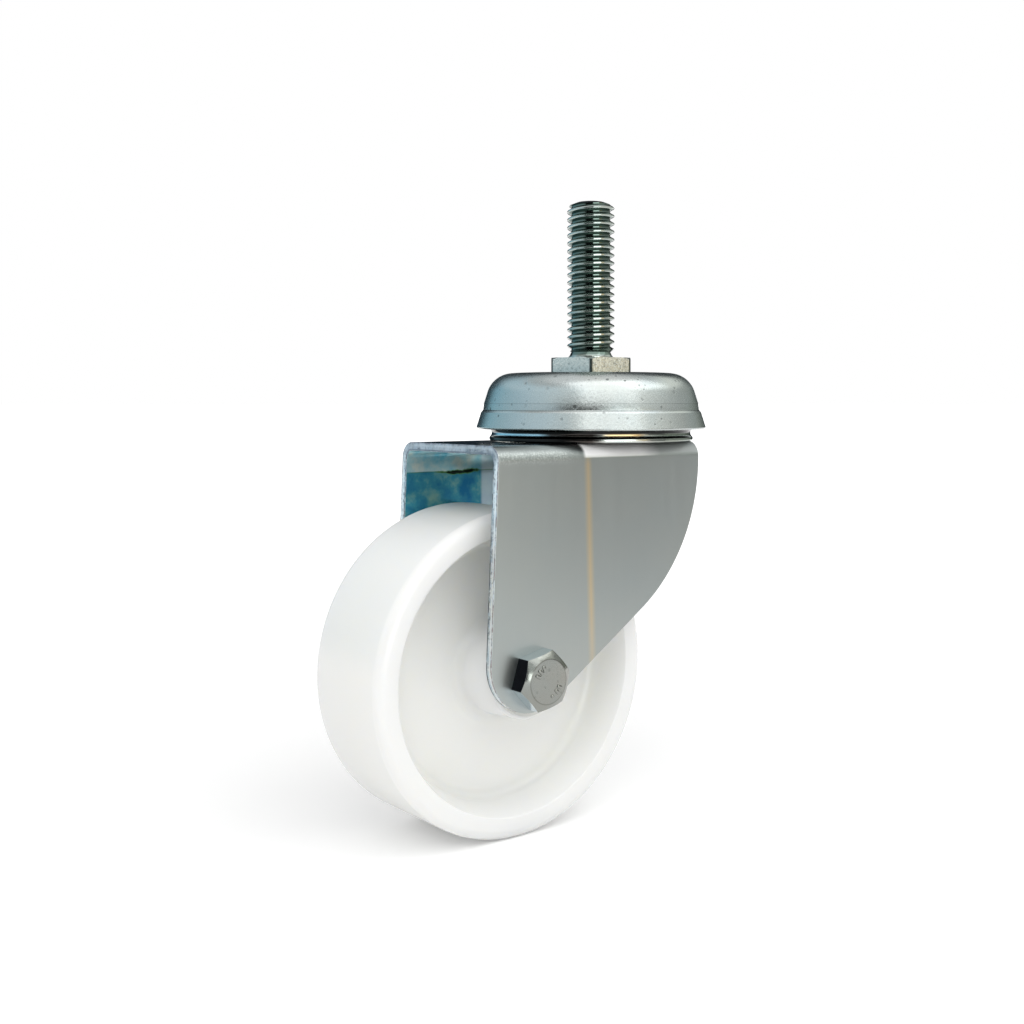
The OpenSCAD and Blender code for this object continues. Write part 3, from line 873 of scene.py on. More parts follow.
def turned_place(tree):
    """Position turned out of line with the flat faces, so that noise shows no rows there."""
    made = node(tree, "ShaderNodeMapping", {"Vector": place_of(tree), "Rotation": (0.5, 0.7, 0.3)})
    return made.outputs[0]


def height_of(tree):
    """Height on the piece, in metres."""
    return axes_of(tree, place_of(tree))["Z"]


def outward(tree):
    """Level way out from the stem's axis."""
    return vectors(tree, "MULTIPLY", place_of(tree), (1, 1, 0))


def from_axis(tree):
    """Distance from the stem's axis, in metres."""
    return vectors(tree, "LENGTH", outward(tree), result="Value")


def facing(tree, turn):
    """How far a place round the stem's axis lies towards a direction: 1 there and -1 behind."""
    towards = (math.cos(math.radians(turn)), math.sin(math.radians(turn)), 0)
    return vectors(tree, "DOT_PRODUCT", vectors(tree, "NORMALIZE", outward(tree)), towards, "Value")


def inward(tree):
    """Share by which a turned piece's surface faces its own axis."""
    out = vectors(tree, "NORMALIZE", outward(tree))
    return spread(tree, vectors(tree, "DOT_PRODUCT", out, normal_of(tree), "Value"), 0.0, -0.2)


# Effects that the finishes share

def plating_grain():
    """Fine grain of zinc plating: a grain value, dark pits and a height."""
    tree, given, out = effect("plating grain", {"Scale": 1500.0, "Pits": 0.3},
                              {"Grain": float, "Pit": float, "Height": float})
    place = turned_place(tree)
    fine = noise(tree, place, given["Scale"], 4.0, 0.65)
    patch = spread(tree, noise(tree, place, 90.0), 0.38, 0.62)
    cell = node(tree, "ShaderNodeTexVoronoi", {"Vector": place, "Scale": times(tree, given["Scale"], 0.5)})
    chance = node(tree, "ShaderNodeSeparateColor", {0: cell.outputs["Color"]}).outputs[0]
    reach = spread(tree, chance, 0.55, 1.0, 0.0, 0.42)
    hollow = maths(tree, "SUBTRACT", reach, cell.outputs["Distance"])
    pit = times(tree, spread(tree, hollow, 0.0, 0.12), patch, given["Pits"])
    tree.links.new(spread(tree, fine, 0.3, 0.7), out["Grain"])
    tree.links.new(pit, out["Pit"])
    tree.links.new(maths(tree, "SUBTRACT", fine, times(tree, pit, 2.0)), out["Height"])
    return tree


def passivation_tint():
    """Thin film colour of the plating: drifts between the metal, a cool and a warm tint."""
    metal = (0.42, 0.45, 0.44, 1.0)
    tree, given, out = effect("passivation tint",
                              {"Metal": metal, "Cool": metal, "Warm": metal, "Scale": 40.0, "Strength": 0.5},
                              {"Color": tuple})
    drift = noise(tree, turned_place(tree), given["Scale"], 4.0, 0.6)
    cool = times(tree, spread(tree, drift, 0.52, 0.34), given["Strength"])
    warm = times(tree, spread(tree, drift, 0.52, 0.7), given["Strength"])
    tinted = mixed(tree, cool, given["Metal"], given["Cool"])
    tree.links.new(mixed(tree, warm, tinted, given["Warm"]), out["Color"])
    return tree


def sheet_depth():
    """Depth in the fork's bent plate: 0 at its inner face and 1 at its outer face."""
    tree, given, out = effect("sheet depth", {}, {"Depth": float})
    axes = axes_of(tree, place_of(tree))
    bend_out = BEND_R + plate
    aside = maths(tree, "SUBTRACT", maths(tree, "ABSOLUTE", axes["Y"]), (fork_half - bend_out) * MM)
    above = maths(tree, "SUBTRACT", axes["Z"], (fork_z - bend_out) * MM)
    away = node(tree, "ShaderNodeCombineXYZ", {"X": maths(tree, "MAXIMUM", aside, 0.0),
                                               "Y": maths(tree, "MAXIMUM", above, 0.0)}).outputs[0]
    reach = vectors(tree, "LENGTH", away, result="Value")
    tree.links.new(spread_mm(tree, reach, BEND_R, bend_out), out["Depth"])
    return tree


GRAIN = plating_grain()
TINT = passivation_tint()
SHEET = sheet_depth()


# Finishes

def material(name):
    """A new material, its tree and its Principled shader."""
    made = bpy.data.materials.new(name)
    made.use_nodes = True
    return made, made.node_tree, made.node_tree.nodes["Principled BSDF"]


def dark_specks(tree, colour, pit):
    """The colour with its pits darkened."""
    return mixed(tree, times(tree, pit, 0.75), colour, PIT)


def relief(tree, shader, height, strength, distance=0.0002):
    """A height turned into the shader's normal."""
    bump = node(tree, "ShaderNodeBump", {"Height": height, "Strength": strength, "Distance": distance})
    tree.links.new(bump.outputs["Normal"], shader.inputs["Normal"])


def plated(name, metal, cool, warm, rough=(0.2, 0.34), scale=1500.0, pits=0.3, drift=40.0,
           strength=0.5, bump=0.08, marks=None):
    """Zinc plated steel. marks is a function that lays a piece's own marks and painted light over its
    colour.
    """
    made, tree, shader = material(name)
    grain = use(tree, GRAIN, Scale=scale, Pits=pits)
    tint = use(tree, TINT, Metal=metal, Cool=cool, Warm=warm, Scale=drift, Strength=strength)
    colour = marks(tree, tint["Color"]) if marks else tint["Color"]
    tree.links.new(dark_specks(tree, colour, grain["Pit"]), shader.inputs["Base Color"])
    tree.links.new(spread(tree, grain["Grain"], 0.0, 1.0, *rough), shader.inputs["Roughness"])
    relief(tree, shader, grain["Height"], bump)
    shader.inputs["Metallic"].default_value = 1.0
    return made


def cap_painted_shade(tree, colour):
    """Painted shade along fine creases round the cap, and painted shade on the inside of a pressing."""
    for height, half, shade in CAP_CREASE_SHADES:
        off = off_line(tree, height_of(tree), height * MM)
        colour = mixed(tree, spread_mm(tree, off, half, half * 0.3, 0.0, shade), colour, CREASE_SHADE)
    return mixed(tree, inward(tree), colour, CAP_INSIDE_SHADE)


def ring_painted_light(tree, colour):
    """Painted reflections on the race ring's wall and foot, painted shadow on its foot, and painted shadow
    close under the cap.
    """
    height = height_of(tree)
    wall = spread_mm(tree, height, *(ring_foot_top + up for up in WALL_REFLECTION_FROM))
    foot = maths(tree, "SUBTRACT", 1.0, wall)
    for turn, reach, on_wall, on_foot, painted_colour in RING_REFLECTIONS_AND_SHADOW:
        near = spread(tree, facing(tree, turn), math.cos(math.radians(reach)),
                      math.cos(math.radians(reach * 0.6)))
        share = maths(tree, "ADD", times(tree, wall, on_wall), times(tree, foot, on_foot))
        colour = mixed(tree, times(tree, near, share), colour, painted_colour)
    return mixed(tree, spread_mm(tree, height, *(rim_z - down for down in CAP_RIM_SHADOW_FROM)), colour, CAP_RIM_SHADOW)


def head_reflections_and_line(tree, colour):
    """Painted reflections on the flats of the bolt's head, pale on all of them and dark on one, and a fine
    line round its face.
    """
    place = place_of(tree)
    along = axes_of(tree, place)["Y"]
    normal = axes_of(tree, normal_of(tree))
    out = vectors(tree, "SUBTRACT", place, Vector((axle.x, 0, axle.z)) * MM)
    radius = vectors(tree, "LENGTH", vectors(tree, "MULTIPLY", out, (1, 0, 1)), result="Value")
    flat = times(tree, spread(tree, maths(tree, "ABSOLUTE", normal["Y"]), 0.3, 0.1),
                 spread_mm(tree, along, -fork_half + 0.1, -fork_half),
                 spread_mm(tree, radius, *HEAD_SIDE_R))
    colour = mixed(tree, times(tree, flat, 0.9), colour, PALE_FLAT_REFLECTION)
    colour = mixed(tree, times(tree, spread(tree, normal["X"], -0.85, -0.92), flat), colour, DARK_FLAT_REFLECTION)
    off = off_line(tree, radius, HEX_AF * HEAD_FACE * MM)
    line = times(tree, spread_mm(tree, off, 0.2, 0.05, 0.0, 0.4),
                 spread_mm(tree, along, bolt_low.y + 0.9, bolt_low.y + 0.7))
    return mixed(tree, line, colour, FACE_LINE)


def bar_finish():
    """Rolled thread with painted shade on its flanks, over a collar left rough by the saw, with painted
    shade on its corners.
    """
    made, tree, shader = material("zinc bar")
    grain = use(tree, GRAIN, Scale=1800.0, Pits=0.5)
    tint = use(tree, TINT, Metal=(0.5, 0.55, 0.52, 1), Cool=(0.48, 0.56, 0.56, 1),
               Warm=(0.58, 0.58, 0.52, 1), Scale=60.0, Strength=0.5)
    rise = maths(tree, "ABSOLUTE", axes_of(tree, normal_of(tree))["Z"])
    radius = from_axis(tree)
    on_thread = spread_mm(tree, height_of(tree), *THREAD_FROM)
    # Painted shade on the thread's flanks
    flank = times(tree, spread_mm(tree, radius, *(THREAD_R - depth for depth in FLANK_SHADE_FROM)),
                  spread(tree, rise, 0.97, 0.9), on_thread)
    colour = mixed(tree, flank, tint["Color"], FLANK_SHADE)
    on_collar = maths(tree, "SUBTRACT", 1.0, on_thread)
    coarse = noise(tree, turned_place(tree), 1300.0, 3.0, 0.75)
    colour = mixed(tree, times(tree, on_collar, 0.4), colour, SAWN)
    # Painted shade on the collar's corners
    corner = times(tree, spread_mm(tree, radius, *COLLAR_CORNER_SHADE_R), on_collar, 0.95)
    colour = mixed(tree, corner, colour, COLLAR_CORNER_SHADE)
    speck = times(tree, spread(tree, coarse, 0.5, 0.36), on_collar, 0.45)
    colour = mixed(tree, speck, colour, COLLAR_GRAIN)
    tree.links.new(dark_specks(tree, colour, grain["Pit"]), shader.inputs["Base Color"])
    tree.links.new(maths(tree, "ADD", spread(tree, grain["Grain"], 0.0, 1.0, 0.06, 0.13),
                         times(tree, on_collar, 0.14)), shader.inputs["Roughness"])
    relief(tree, shader, times(tree, coarse, on_collar), 0.3)
    shader.inputs["Metallic"].default_value = 1.0
    return made


def reflected_line_share(tree, axes):
    """Share of a painted reflection, an upright line on the near leg's outside, which fades at both ends."""
    lean = down_fork(tree, axes["Z"], *REFLECTED_LINE_DEPTHS, REFLECTED_LINE_X[0] * MM, REFLECTED_LINE_X[1] * MM)
    return times(tree, spread_mm(tree, off_line(tree, axes["X"], lean), REFLECTED_LINE_HALF, 0.0),
                 down_fork(tree, axes["Z"], *REFLECTED_LINE_COMES_IN),
                 down_fork(tree, axes["Z"], *REFLECTED_LINE_FADES, REFLECTED_LINE_FAINT, 1.0),
                 spread_mm(tree, axes["Y"], -fork_half + 0.4, -fork_half + 0.1))


def inside_film_and_painted_light(tree, place, axes):
    """Blue film inside the channel, the plating's tint darkened as painted shade: mottled, with a painted
    pale reflection close under the top, a painted dark reflection line between them and a painted pale
    reflection on the far leg towards the back.
    """
    blue = use(tree, TINT, Metal=(0.07, 0.37, 0.48, 1), Cool=(0.01, 0.2, 0.42, 1),
               Warm=(0.32, 0.6, 0.52, 1), Scale=170.0, Strength=1.0)
    pale_reflection = use(tree, TINT, Metal=(0.5, 0.8, 0.86, 1), Cool=(0.22, 0.62, 0.78, 1),
               Warm=(0.85, 0.93, 0.85, 1), Scale=190.0, Strength=1.0)
    mottle = noise(tree, place, 420.0, 3.0)
    dark_line_z = fork_under_z - PALE_REFLECTION_DEPTH
    waver = spread(tree, noise(tree, place, 60.0), 0.3, 0.7, -PALE_REFLECTION_WAVER * MM, PALE_REFLECTION_WAVER * MM)
    edge = maths(tree, "ADD", axes["Z"], waver)
    film = mixed(tree, spread_mm(tree, edge, dark_line_z, dark_line_z + 0.3), blue["Color"], pale_reflection["Color"])
    far_leg_reflection = times(tree, spread_mm(tree, axes["X"], *FAR_LEG_REFLECTION_FROM),
                   spread_mm(tree, axes["Y"], 0.0, 1.0), 0.75)
    film = mixed(tree, far_leg_reflection, film, FAR_LEG_REFLECTION)
    thick = times(tree, spread_mm(tree, axes["X"], *DARK_LINE_FROM), spread_mm(tree, axes["X"], *DARK_LINE_TO),
                  spread(tree, mottle, 0.35, 0.65, 0.3 * MM, 0.8 * MM))
    dark_line = maths(tree, "SUBTRACT", thick, off_line(tree, edge, dark_line_z * MM))
    film = mixed(tree, spread_mm(tree, dark_line, *DARK_LINE_BORDER, 0.0, 0.8), film, DARK_LINE_REFLECTION_EDGE)
    film = mixed(tree, spread_mm(tree, dark_line, *DARK_LINE_MIDDLE), film, DARK_LINE_REFLECTION)
    return mixed(tree, spread_mm(tree, axes["Y"], 1.0, 0.0), film, NEAR_LEG_FILM)


def plate_finish():
    """Plated plate of the fork: a painted warm reflection line, a painted highlight and painted shade on the
    near bend, and a blue inside with painted shade and reflections.
    """
    made, tree, shader = material("zinc plate")
    place = place_of(tree)
    axes = axes_of(tree, place)
    grain = use(tree, GRAIN, Scale=1900.0, Pits=0.0)
    tint = use(tree, TINT, Metal=(0.4, 0.43, 0.42, 1), Cool=(0.38, 0.42, 0.42, 1),
               Warm=(0.41, 0.43, 0.41, 1), Scale=28.0, Strength=0.6)
    stretched = node(tree, "ShaderNodeMapping", {"Vector": place, "Scale": (1.0, 1.0, 0.04)}).outputs[0]
    streaks = noise(tree, stretched, 520.0, 3.0)
    colour = mixed(tree, spread(tree, streaks, 0.3, 0.75, 0.0, 0.05), tint["Color"], STREAK)
    # Painted reflection: a warm upright line on the near leg
    colour = mixed(tree, times(tree, reflected_line_share(tree, axes), 0.75), colour, WARM_LINE_REFLECTION)
    # Near bend: painted highlight under the cap, painted shade beside it
    on_bend = times(tree, spread_mm(tree, axes["Y"], -bend_y, -bend_y - 0.5),
                    down_fork(tree, axes["Z"], *NEAR_BEND))
    under_ring = times(tree, on_bend, spread_mm(tree, axes["X"], *BEND_HIGHLIGHT_FROM))
    highlight_share = times(tree, under_ring, spread_mm(tree, axes["X"], *BEND_HIGHLIGHT_TO))
    colour = mixed(tree, highlight_share, colour, BEND_HIGHLIGHT)
    shade_share = times(tree, on_bend, spread_mm(tree, axes["X"], *reversed(BEND_HIGHLIGHT_FROM), 0.0, 0.35))
    colour = mixed(tree, shade_share, colour, BEND_SHADE)
    # Both bends: coarse in front, where the plate was drawn over the tool
    aside = maths(tree, "ABSOLUTE", axes["Y"])
    drawn = times(tree, down_fork(tree, axes["Z"], *COARSE_FOOT),
                  down_fork(tree, axes["Z"], *COARSE_TOP),
                  spread_mm(tree, aside, bend_y, bend_y + 1.0),
                  spread_mm(tree, axes["X"], *COARSE_FROM))
    torn = noise(tree, turned_place(tree), 2400.0, 3.0)
    colour = mixed(tree, times(tree, drawn, spread(tree, torn, 0.45, 0.62, 0.0, 0.55)), colour, SCUFFED)
    inside = times(tree, spread(tree, use(tree, SHEET)["Depth"], 0.14, 0.06),
                   spread_mm(tree, axes["Z"], fork_under_z + 0.1, fork_under_z - 0.1))
    colour = mixed(tree, inside, colour, inside_film_and_painted_light(tree, place, axes))
    tree.links.new(colour, shader.inputs["Base Color"])
    dull = maths(tree, "MAXIMUM", times(tree, inside, 1 - INSIDE_METAL),
                 times(tree, under_ring, down_fork(tree, axes["Z"], *BEND_HIGHLIGHT_MATTE)))
    tree.links.new(maths(tree, "SUBTRACT", 1.0, dull), shader.inputs["Metallic"])
    rough = maths(tree, "ADD", spread(tree, streaks, 0.3, 0.7, 0.33, 0.36),
                  spread(tree, grain["Grain"], 0.0, 1.0, -0.02, 0.02))
    sleek = maths(tree, "MAXIMUM", inside, down_fork(tree, axes["Z"], *FLAT_TOP))
    tree.links.new(maths(tree, "SUBTRACT", rough, times(tree, sleek, 0.23)), shader.inputs["Roughness"])
    relief(tree, shader, maths(tree, "ADD", times(tree, grain["Height"], 0.04),
                               times(tree, torn, drawn)), 0.3)
    return made


def cut_edge_finish():
    """Sheared edge of the plate: torn across its thickness, with a painted highlight line and a rusty line.
    """
    made, tree, shader = material("zinc cut edge")
    grain = use(tree, GRAIN, Scale=2600.0, Pits=0.6)
    tint = use(tree, TINT, Metal=(0.74, 0.8, 0.84, 1), Cool=(0.55, 0.66, 0.76, 1),
               Warm=(0.9, 0.93, 0.94, 1), Scale=500.0, Strength=1.0)
    place = turned_place(tree)
    torn = noise(tree, place, 1100.0, 5.0, 0.75)
    broken = noise(tree, place, 380.0, 4.0, 0.6)
    depth = use(tree, SHEET)["Depth"]
    colour = mixed(tree, spread(tree, torn, 0.5, 0.36, 0.0, 0.8), tint["Color"], TORN_PIT)
    colour = mixed(tree, spread(tree, broken, 0.5, 0.36, 0.0, 0.55), colour, TORN_HOLLOW)
    dashes = times(tree, spread(tree, off_line(tree, depth, 0.13), 0.13, 0.06),
                   spread(tree, broken, 0.4, 0.5), 0.9)
    colour = mixed(tree, dashes, colour, EDGE_DASH)
    rust = times(tree, spread(tree, off_line(tree, depth, 0.92), 0.09, 0.03),
                 spread(tree, broken, 0.66, 0.45), 0.85)
    colour = mixed(tree, rust, colour, EDGE_RUST)
    # Painted highlight line along the cut edge
    highlight_line = spread(tree, off_line(tree, depth, 0.66), 0.2, 0.05, 0.0, 0.85)
    colour = mixed(tree, highlight_line, colour, EDGE_HIGHLIGHT)
    along_top = down_fork(tree, height_of(tree), *EDGE_TOP, 0.0, 0.62)
    top_colour = mixed(tree, spread(tree, broken, 0.4, 0.6), EDGE_TOP_DARK, EDGE_TOP_PALE)
    colour = mixed(tree, along_top, colour, top_colour)
    tree.links.new(dark_specks(tree, colour, grain["Pit"]), shader.inputs["Base Color"])
    tree.links.new(spread(tree, torn, 0.3, 0.7, 0.3, 0.46), shader.inputs["Roughness"])
    relief(tree, shader, maths(tree, "ADD", torn, grain["Height"]), 0.5, 0.0003)
    shader.inputs["Metallic"].default_value = 1.0
    return made


def plastic(name, colour, darker, rough, scale, subsurface=0.0, radius=0.002):
    """Moulded nylon."""
    made, tree, shader = material(name)
    place = turned_place(tree)
    cloud = noise(tree, place, scale)
    tree.links.new(mixed(tree, spread(tree, cloud, 0.2, 0.8), colour, darker), shader.inputs["Base Color"])
    tree.links.new(spread(tree, cloud, 0.2, 0.8, *rough), shader.inputs["Roughness"])
    relief(tree, shader, noise(tree, place, 1100.0), 0.03, 0.0001)
    shader.inputs["Subsurface Weight"].default_value = subsurface
    shader.inputs["Subsurface Radius"].default_value = (1.0, 0.95, 0.85)
    shader.inputs["Subsurface Scale"].default_value = radius
    return made


pressed = plated("zinc pressing", (0.49, 0.52, 0.51, 1), (0.44, 0.51, 0.535, 1), (0.51, 0.52, 0.48, 1),
                 rough=(0.2, 0.32), pits=1.0, bump=0.16, marks=cap_painted_shade)
raceway = plated("zinc raceway", (0.5, 0.52, 0.49, 1), (0.36, 0.5, 0.54, 1), (0.5, 0.44, 0.34, 1),
                 rough=(0.12, 0.2), marks=ring_painted_light)
plate_skin = plate_finish()
cut_edge = cut_edge_finish()
bar = bar_finish()
sleeve_skin = plated("zinc sleeve", (0.46, 0.5, 0.49, 1), (0.4, 0.46, 0.47, 1), (0.5, 0.5, 0.45, 1),
                     rough=(0.15, 0.25), pits=0.2)
fastener = plated("zinc fastener", (0.29, 0.295, 0.27, 1), (0.26, 0.3, 0.3, 1), (0.34, 0.29, 0.24, 1),
                  rough=(0.1, 0.2), scale=1700.0, pits=0.4, bump=0.09, marks=head_reflections_and_line)
ball_steel = plated("ball steel", (0.62, 0.63, 0.64, 1), (0.6, 0.62, 0.64, 1), (0.63, 0.62, 0.6, 1),
                    rough=(0.05, 0.09), pits=0.0, strength=0.2, bump=0.0)
nylon = plastic("white nylon", (0.89, 0.89, 0.87, 1), (0.87, 0.875, 0.85, 1), (0.22, 0.28), 24.0, 0.8, 0.01)
washer_nylon = plastic("washer nylon", (0.75, 0.75, 0.7, 1), (0.7, 0.7, 0.66, 1), (0.35, 0.45), 90.0)
insert_nylon = plastic("insert nylon", (0.02, 0.06, 0.32, 1), (0.02, 0.05, 0.28, 1), (0.35, 0.45), 90.0)


# Camera: the photograph's frame, focal length and place of the level line of sight
FRAME_PX = 1024
FOCAL_PX = 1267.2
AXIS_PX = (553.17, 400.79)
SENSOR = 36
VIEW_TURN = 38.51
CAMERA_AT = (-220.76, -261.13, floor_z + 106.43)

# Light, and the cards that the metal reflects. Lengths here are in metres
WORLD_LEVEL = 0.69
LAMP_AWAY = 0.9
FLOOR_HALF = 30.0
# Distances from the castor, and the floor's own brightness to the camera at each
FLOOR_NEAR_FAR = (0.2, 1.0)
FLOOR_GLOW = (0.2, 0.75)
CARD_LEVEL = 4.0
SURROUND_R = 1.3
SURROUND_TOP = 2.4
# Heights between which one ring of cards gives way to the next, and the last to dusk
MIDDLE_FROM = (0.16, 0.24)
HIGH_FROM = (0.5, 0.7)
DUSK_FROM = (1.2, 1.6)
DUSK = (0.16, 0.165, 0.165, 1)
# Direction in degrees and brightness of each card in the low, middle and high rings
LOW_CARDS = ((-180, (0.5, 0.58, 0.6)), (-168, (0.42, 0.47, 0.48)), (-158, (0.01, 0.01, 0.01)),
             (-117, (0.01, 0.01, 0.01)), (-114, (3.8, 4.0, 3.9)), (-82, (3.8, 4.0, 3.9)),
             (-78, (0.85, 0.68, 0.4)), (-64, (0.85, 0.68, 0.4)), (-60, (0.45, 0.46, 0.45)),
             (-30, (0.5, 0.52, 0.5)), (0, (0.35, 0.38, 0.33)), (24, (0.1, 0.12, 0.11)),
             (34, (0.01, 0.015, 0.02)), (86, (0.01, 0.02, 0.03)), (98, (0.3, 0.6, 0.72)),
             (165, (0.55, 0.66, 0.7)))
MIDDLE_CARDS = ((-180, (0.7, 0.82, 0.88)), (-166, (0.5, 0.56, 0.58)), (-156, (0.03, 0.03, 0.03)),
                (-120, (0.03, 0.03, 0.03)), (-112, (0.9, 0.95, 0.93)), (-60, (0.85, 0.86, 0.82)),
                (-30, (0.6, 0.62, 0.6)), (14, (0.4, 0.43, 0.4)), (30, (0.02, 0.03, 0.03)),
                (84, (0.02, 0.03, 0.04)), (100, (0.35, 0.62, 0.75)), (165, (0.65, 0.78, 0.85)))
HIGH_CARDS = ((-180, (0.95, 1.06, 1.1)), (-136, (1.0, 1.05, 1.05)), (-124, (0.72, 0.76, 0.76)),
              (-88, (0.72, 0.74, 0.72)), (-74, (1.0, 1.02, 0.98)), (-30, (1.1, 1.12, 1.04)),
              (12, (1.05, 1.08, 1.0)), (20, (0.85, 0.88, 0.82)), (28, (0.04, 0.045, 0.05)),
              (68, (0.04, 0.05, 0.055)), (96, (0.6, 0.8, 0.9)), (165, (0.85, 0.98, 1.04)))
# Grey card before the near leg: its direction, distance, width, height and brightness
GREY_TURN = -54.0
GREY_AT = 0.3
GREY_W = 0.14
GREY_H = 0.13
GREY_LOW = 0.56
GREY_HIGH = 0.19


def camera():
    """Level camera at the photograph's place."""
    data = bpy.data.cameras.new("camera")
    data.sensor_width = SENSOR
    data.lens = SENSOR * FOCAL_PX / FRAME_PX
    data.shift_x = 0.5 - AXIS_PX[0] / FRAME_PX
    data.shift_y = AXIS_PX[1] / FRAME_PX - 0.5
    data.clip_start = 0.01
    eye = bpy.data.objects.new("camera", data)
    eye.location = Vector(CAMERA_AT) * MM
    eye.rotation_euler = (math.radians(90), 0, math.radians(-VIEW_TURN))
    bpy.context.scene.collection.objects.link(eye)
    bpy.context.scene.camera = eye


def white_world():
    """White to the camera and in reflections, a plain level on everything else."""
    world = bpy.data.worlds.new("studio")
    bpy.context.scene.world = world
    world.use_nodes = True
    tree = world.node_tree
    path = node(tree, "ShaderNodeLightPath").outputs
    seen = maths(tree, "MAXIMUM", maths(tree, "MAXIMUM", path["Is Camera Ray"], path["Is Glossy Ray"]),
                 path["Is Transmission Ray"])
    back = tree.nodes["Background"]
    back.inputs["Color"].default_value = (1, 1, 1, 1)
    tree.links.new(spread(tree, seen, 0.0, 1.0, WORLD_LEVEL, 1.0), back.inputs["Strength"])


def pale_floor():
    """White floor that keeps the wheel's soft shadow."""
    half = FLOOR_HALF
    z = floor_z * MM
    floor = add_mesh("floor", [(-half, -half, z), (half, -half, z), (half, half, z), (-half, half, z)],
                     [[0, 1, 2, 3]])
    made, tree, shader = material("floor")
    path = node(tree, "ShaderNodeLightPath").outputs
    seen = maths(tree, "MAXIMUM", path["Is Camera Ray"], path["Is Glossy Ray"])
    shader.inputs["Base Color"].default_value = (0.9, 0.9, 0.9, 1)
    shader.inputs["Roughness"].default_value = 0.9
    shader.inputs["Specular IOR Level"].default_value = 0.0
    shader.inputs["Emission Color"].default_value = (1, 1, 1, 1)
    away = vectors(tree, "LENGTH", place_of(tree), result="Value")
    glow = spread(tree, away, *FLOOR_NEAR_FAR, *FLOOR_GLOW)
    tree.links.new(times(tree, seen, glow), shader.inputs["Emission Strength"])
    floor.data.materials.append(made)


def glowing(name, colour_of):
    """A material that only shines, with its colour made by a function of its tree."""
    made = bpy.data.materials.new(name)
    made.use_nodes = True
    tree = made.node_tree
    tree.nodes.clear()
    glow = node(tree, "ShaderNodeEmission", {"Color": colour_of(tree), "Strength": CARD_LEVEL})
    end = node(tree, "ShaderNodeOutputMaterial")
    tree.links.new(glow.outputs[0], end.inputs["Surface"])
    return made


def only_reflected(card, skin):
    """A card that nothing but a reflection sees."""
    card.data.materials.append(skin)
    card.visible_camera = False
    card.visible_diffuse = False
    card.visible_transmission = False
    card.visible_shadow = False
    card.visible_volume_scatter = False


def card_ring(tree, turn, cards):
    """Colours of the cards round the castor, by direction in degrees."""
    ramp = node(tree, "ShaderNodeValToRGB", {"Fac": turn})
    stops = ramp.color_ramp.elements
    while len(stops) < len(cards):
        stops.new(0.5)
    for stop, (degrees, colour) in zip(stops, cards):
        stop.position = (degrees + 180) / 360
        stop.color = (*[channel / CARD_LEVEL for channel in colour], 1)
    return ramp.outputs["Color"]


def surround():
    """Studio walls: rings of cards round the castor, one above the other."""

    def colour_of(tree):
        place = place_of(tree)
        turn = node(tree, "ShaderNodeTexGradient", {"Vector": place}, gradient_type="RADIAL").outputs["Fac"]
        height = axes_of(tree, place)["Z"]
        lower = mixed(tree, spread(tree, height, *MIDDLE_FROM), card_ring(tree, turn, LOW_CARDS),
                      card_ring(tree, turn, MIDDLE_CARDS))
        cards = mixed(tree, spread(tree, height, *HIGH_FROM), lower, card_ring(tree, turn, HIGH_CARDS))
        return mixed(tree, spread(tree, height, *DUSK_FROM), cards, DUSK)

    outline = regular(ROUND_SIDES, SURROUND_R, 0)
    count = len(outline)
    points = [(x, y, z) for z in (floor_z * MM, SURROUND_TOP) for x, y in outline]
    wall = add_mesh("surround", points,
                    [[k, (k + 1) % count, count + (k + 1) % count, count + k] for k in range(count)])
    only_reflected(wall, glowing("surround", colour_of))


def grey_card():
    """Grey card that stands before the near leg."""
    middle = math.radians(GREY_TURN)
    across = Vector((-math.sin(middle), math.cos(middle), 0)) * GREY_W / 2
    foot = Vector((math.cos(middle), math.sin(middle), 0)) * GREY_AT + Vector((0, 0, floor_z * MM))
    top = foot + Vector((0, 0, GREY_H))
    card = add_mesh("grey_card", [foot - across, foot + across, top + across, top - across], [[0, 1, 2, 3]])

    def colour_of(tree):
        rise = maths(tree, "SUBTRACT", height_of(tree), floor_z * MM)
        low, high = ((*[level / CARD_LEVEL] * 3, 1) for level in (GREY_LOW, GREY_HIGH))
        return mixed(tree, spread(tree, rise, 0.0, GREY_H), low, high)

    only_reflected(card, glowing("grey card", colour_of))


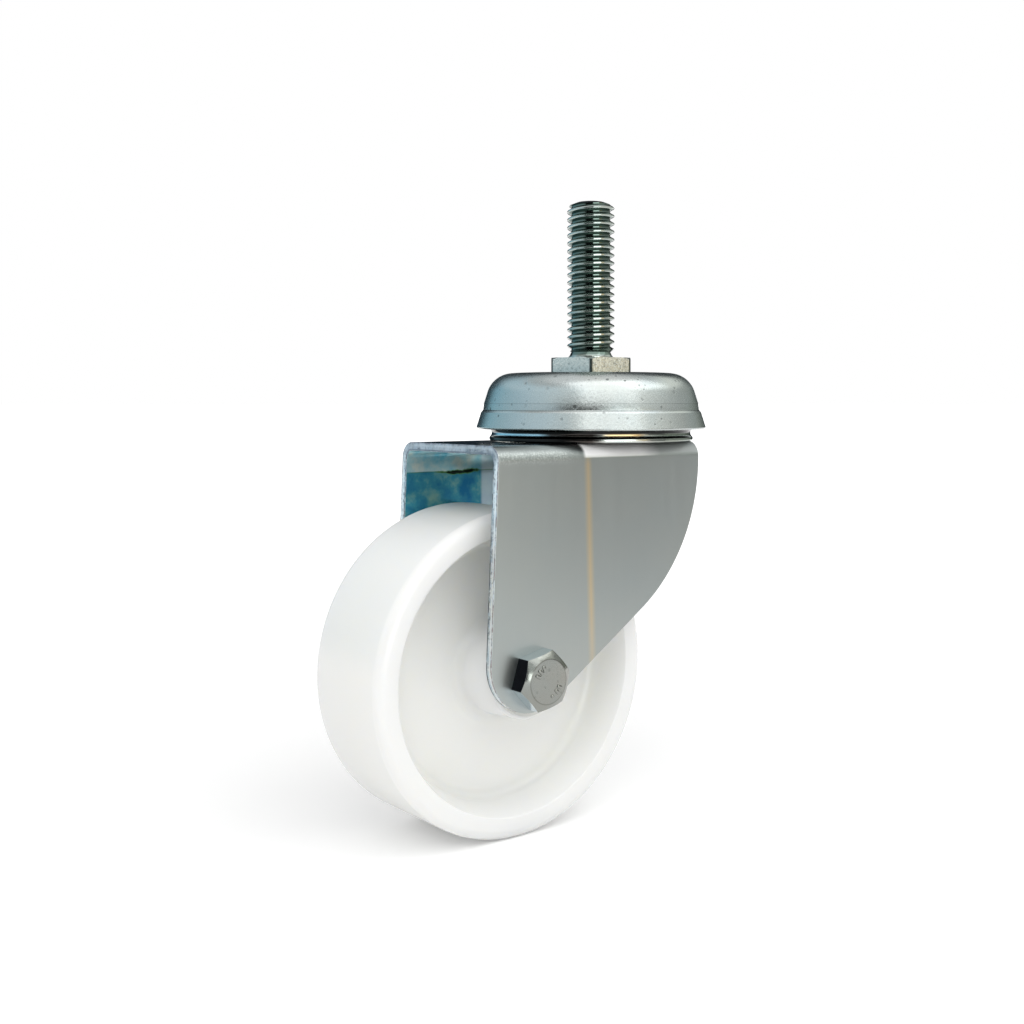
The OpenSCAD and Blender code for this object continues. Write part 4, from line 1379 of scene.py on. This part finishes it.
def softbox(name, turn, rise, size, radiance):
    """An area lamp aimed at the castor from a direction given in degrees."""
    data = bpy.data.lights.new(name, "AREA")
    data.shape = "RECTANGLE"
    data.size, data.size_y = size
    data.energy = radiance * math.pi * size[0] * size[1]
    lamp = bpy.data.objects.new(name, data)
    turn, rise = math.radians(turn), math.radians(rise)
    aim = Vector((math.cos(turn) * math.cos(rise), math.sin(turn) * math.cos(rise), math.sin(rise)))
    lamp.location = Vector((0, 0, rim_z * MM)) + aim * LAMP_AWAY
    lamp.rotation_euler = aim.to_track_quat("Z", "Y").to_euler()
    bpy.context.scene.collection.objects.link(lamp)
    return lamp


camera()
white_world()
pale_floor()
surround()
grey_card()
softbox("key", -107, 54, (0.98, 0.9), 1.15)
softbox("fill", -48, 50, (0.55, 0.5), 1.1)
side = softbox("side", -150, 20, (0.8, 0.7), 0.5)
side.visible_glossy = False


# Dressing

def is_sheared(face):
    """Whether a face of the fork is part of the plate's cut edge."""
    middle = face.center / MM
    turn = face.normal
    underside = turn.z < -0.7 and middle.z < fork_under_z - 3
    along_sheet = abs(turn.x) < 0.25 and not underside
    return not along_sheet and abs(turn.y) < 0.8


def dress(piece, body, node_name, slot, *skins):
    """A piece that stands for a solid, on that solid's body and in its finish."""
    for skin in skins:
        piece.data.materials.append(skin)
    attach(piece, body)
    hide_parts(node_name)


dress(stem, "head", "threaded_stem", "plated_bar", bar)
dress(cap, "head", "head_cap", "plated_pressing", pressed)
dress(cup, "head", "lower_race_cup", "plated_pressing", pressed)
dress(ring, "fork_body", "race_ring", "plated_pressing", raceway)
dress(fork, "fork_body", "fork", "plated_plate", plate_skin, cut_edge)
dress(bolt, "fork_body", "axle_bolt", "plated_bolt", fastener)
dress(nut, "fork_body", "lock_nut", "plated_bolt", fastener)
dress(washer, "fork_body", "nut_washer", "plated_bolt", fastener)
dress(wheel, "wheel_body", "wheel", "wheel_nylon", nylon)
for face in fork.data.polygons:
    face.material_index = 1 if is_sheared(face) else 0

# Solids whose own shape is right keep it, and get a finish
for name, skin in (("upper_balls", ball_steel), ("lower_balls", ball_steel), ("axle_sleeve", sleeve_skin),
                   ("near_thrust_washer", washer_nylon), ("far_thrust_washer", washer_nylon),
                   ("nut_insert", insert_nylon)):
    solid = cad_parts[name]
    solid.data.materials.clear()
    solid.data.materials.append(skin)
    solid.data.shade_smooth()
    solid.data.set_sharp_from_angle(angle=math.radians(35))

bpy.context.scene.view_settings.view_transform = "Standard"
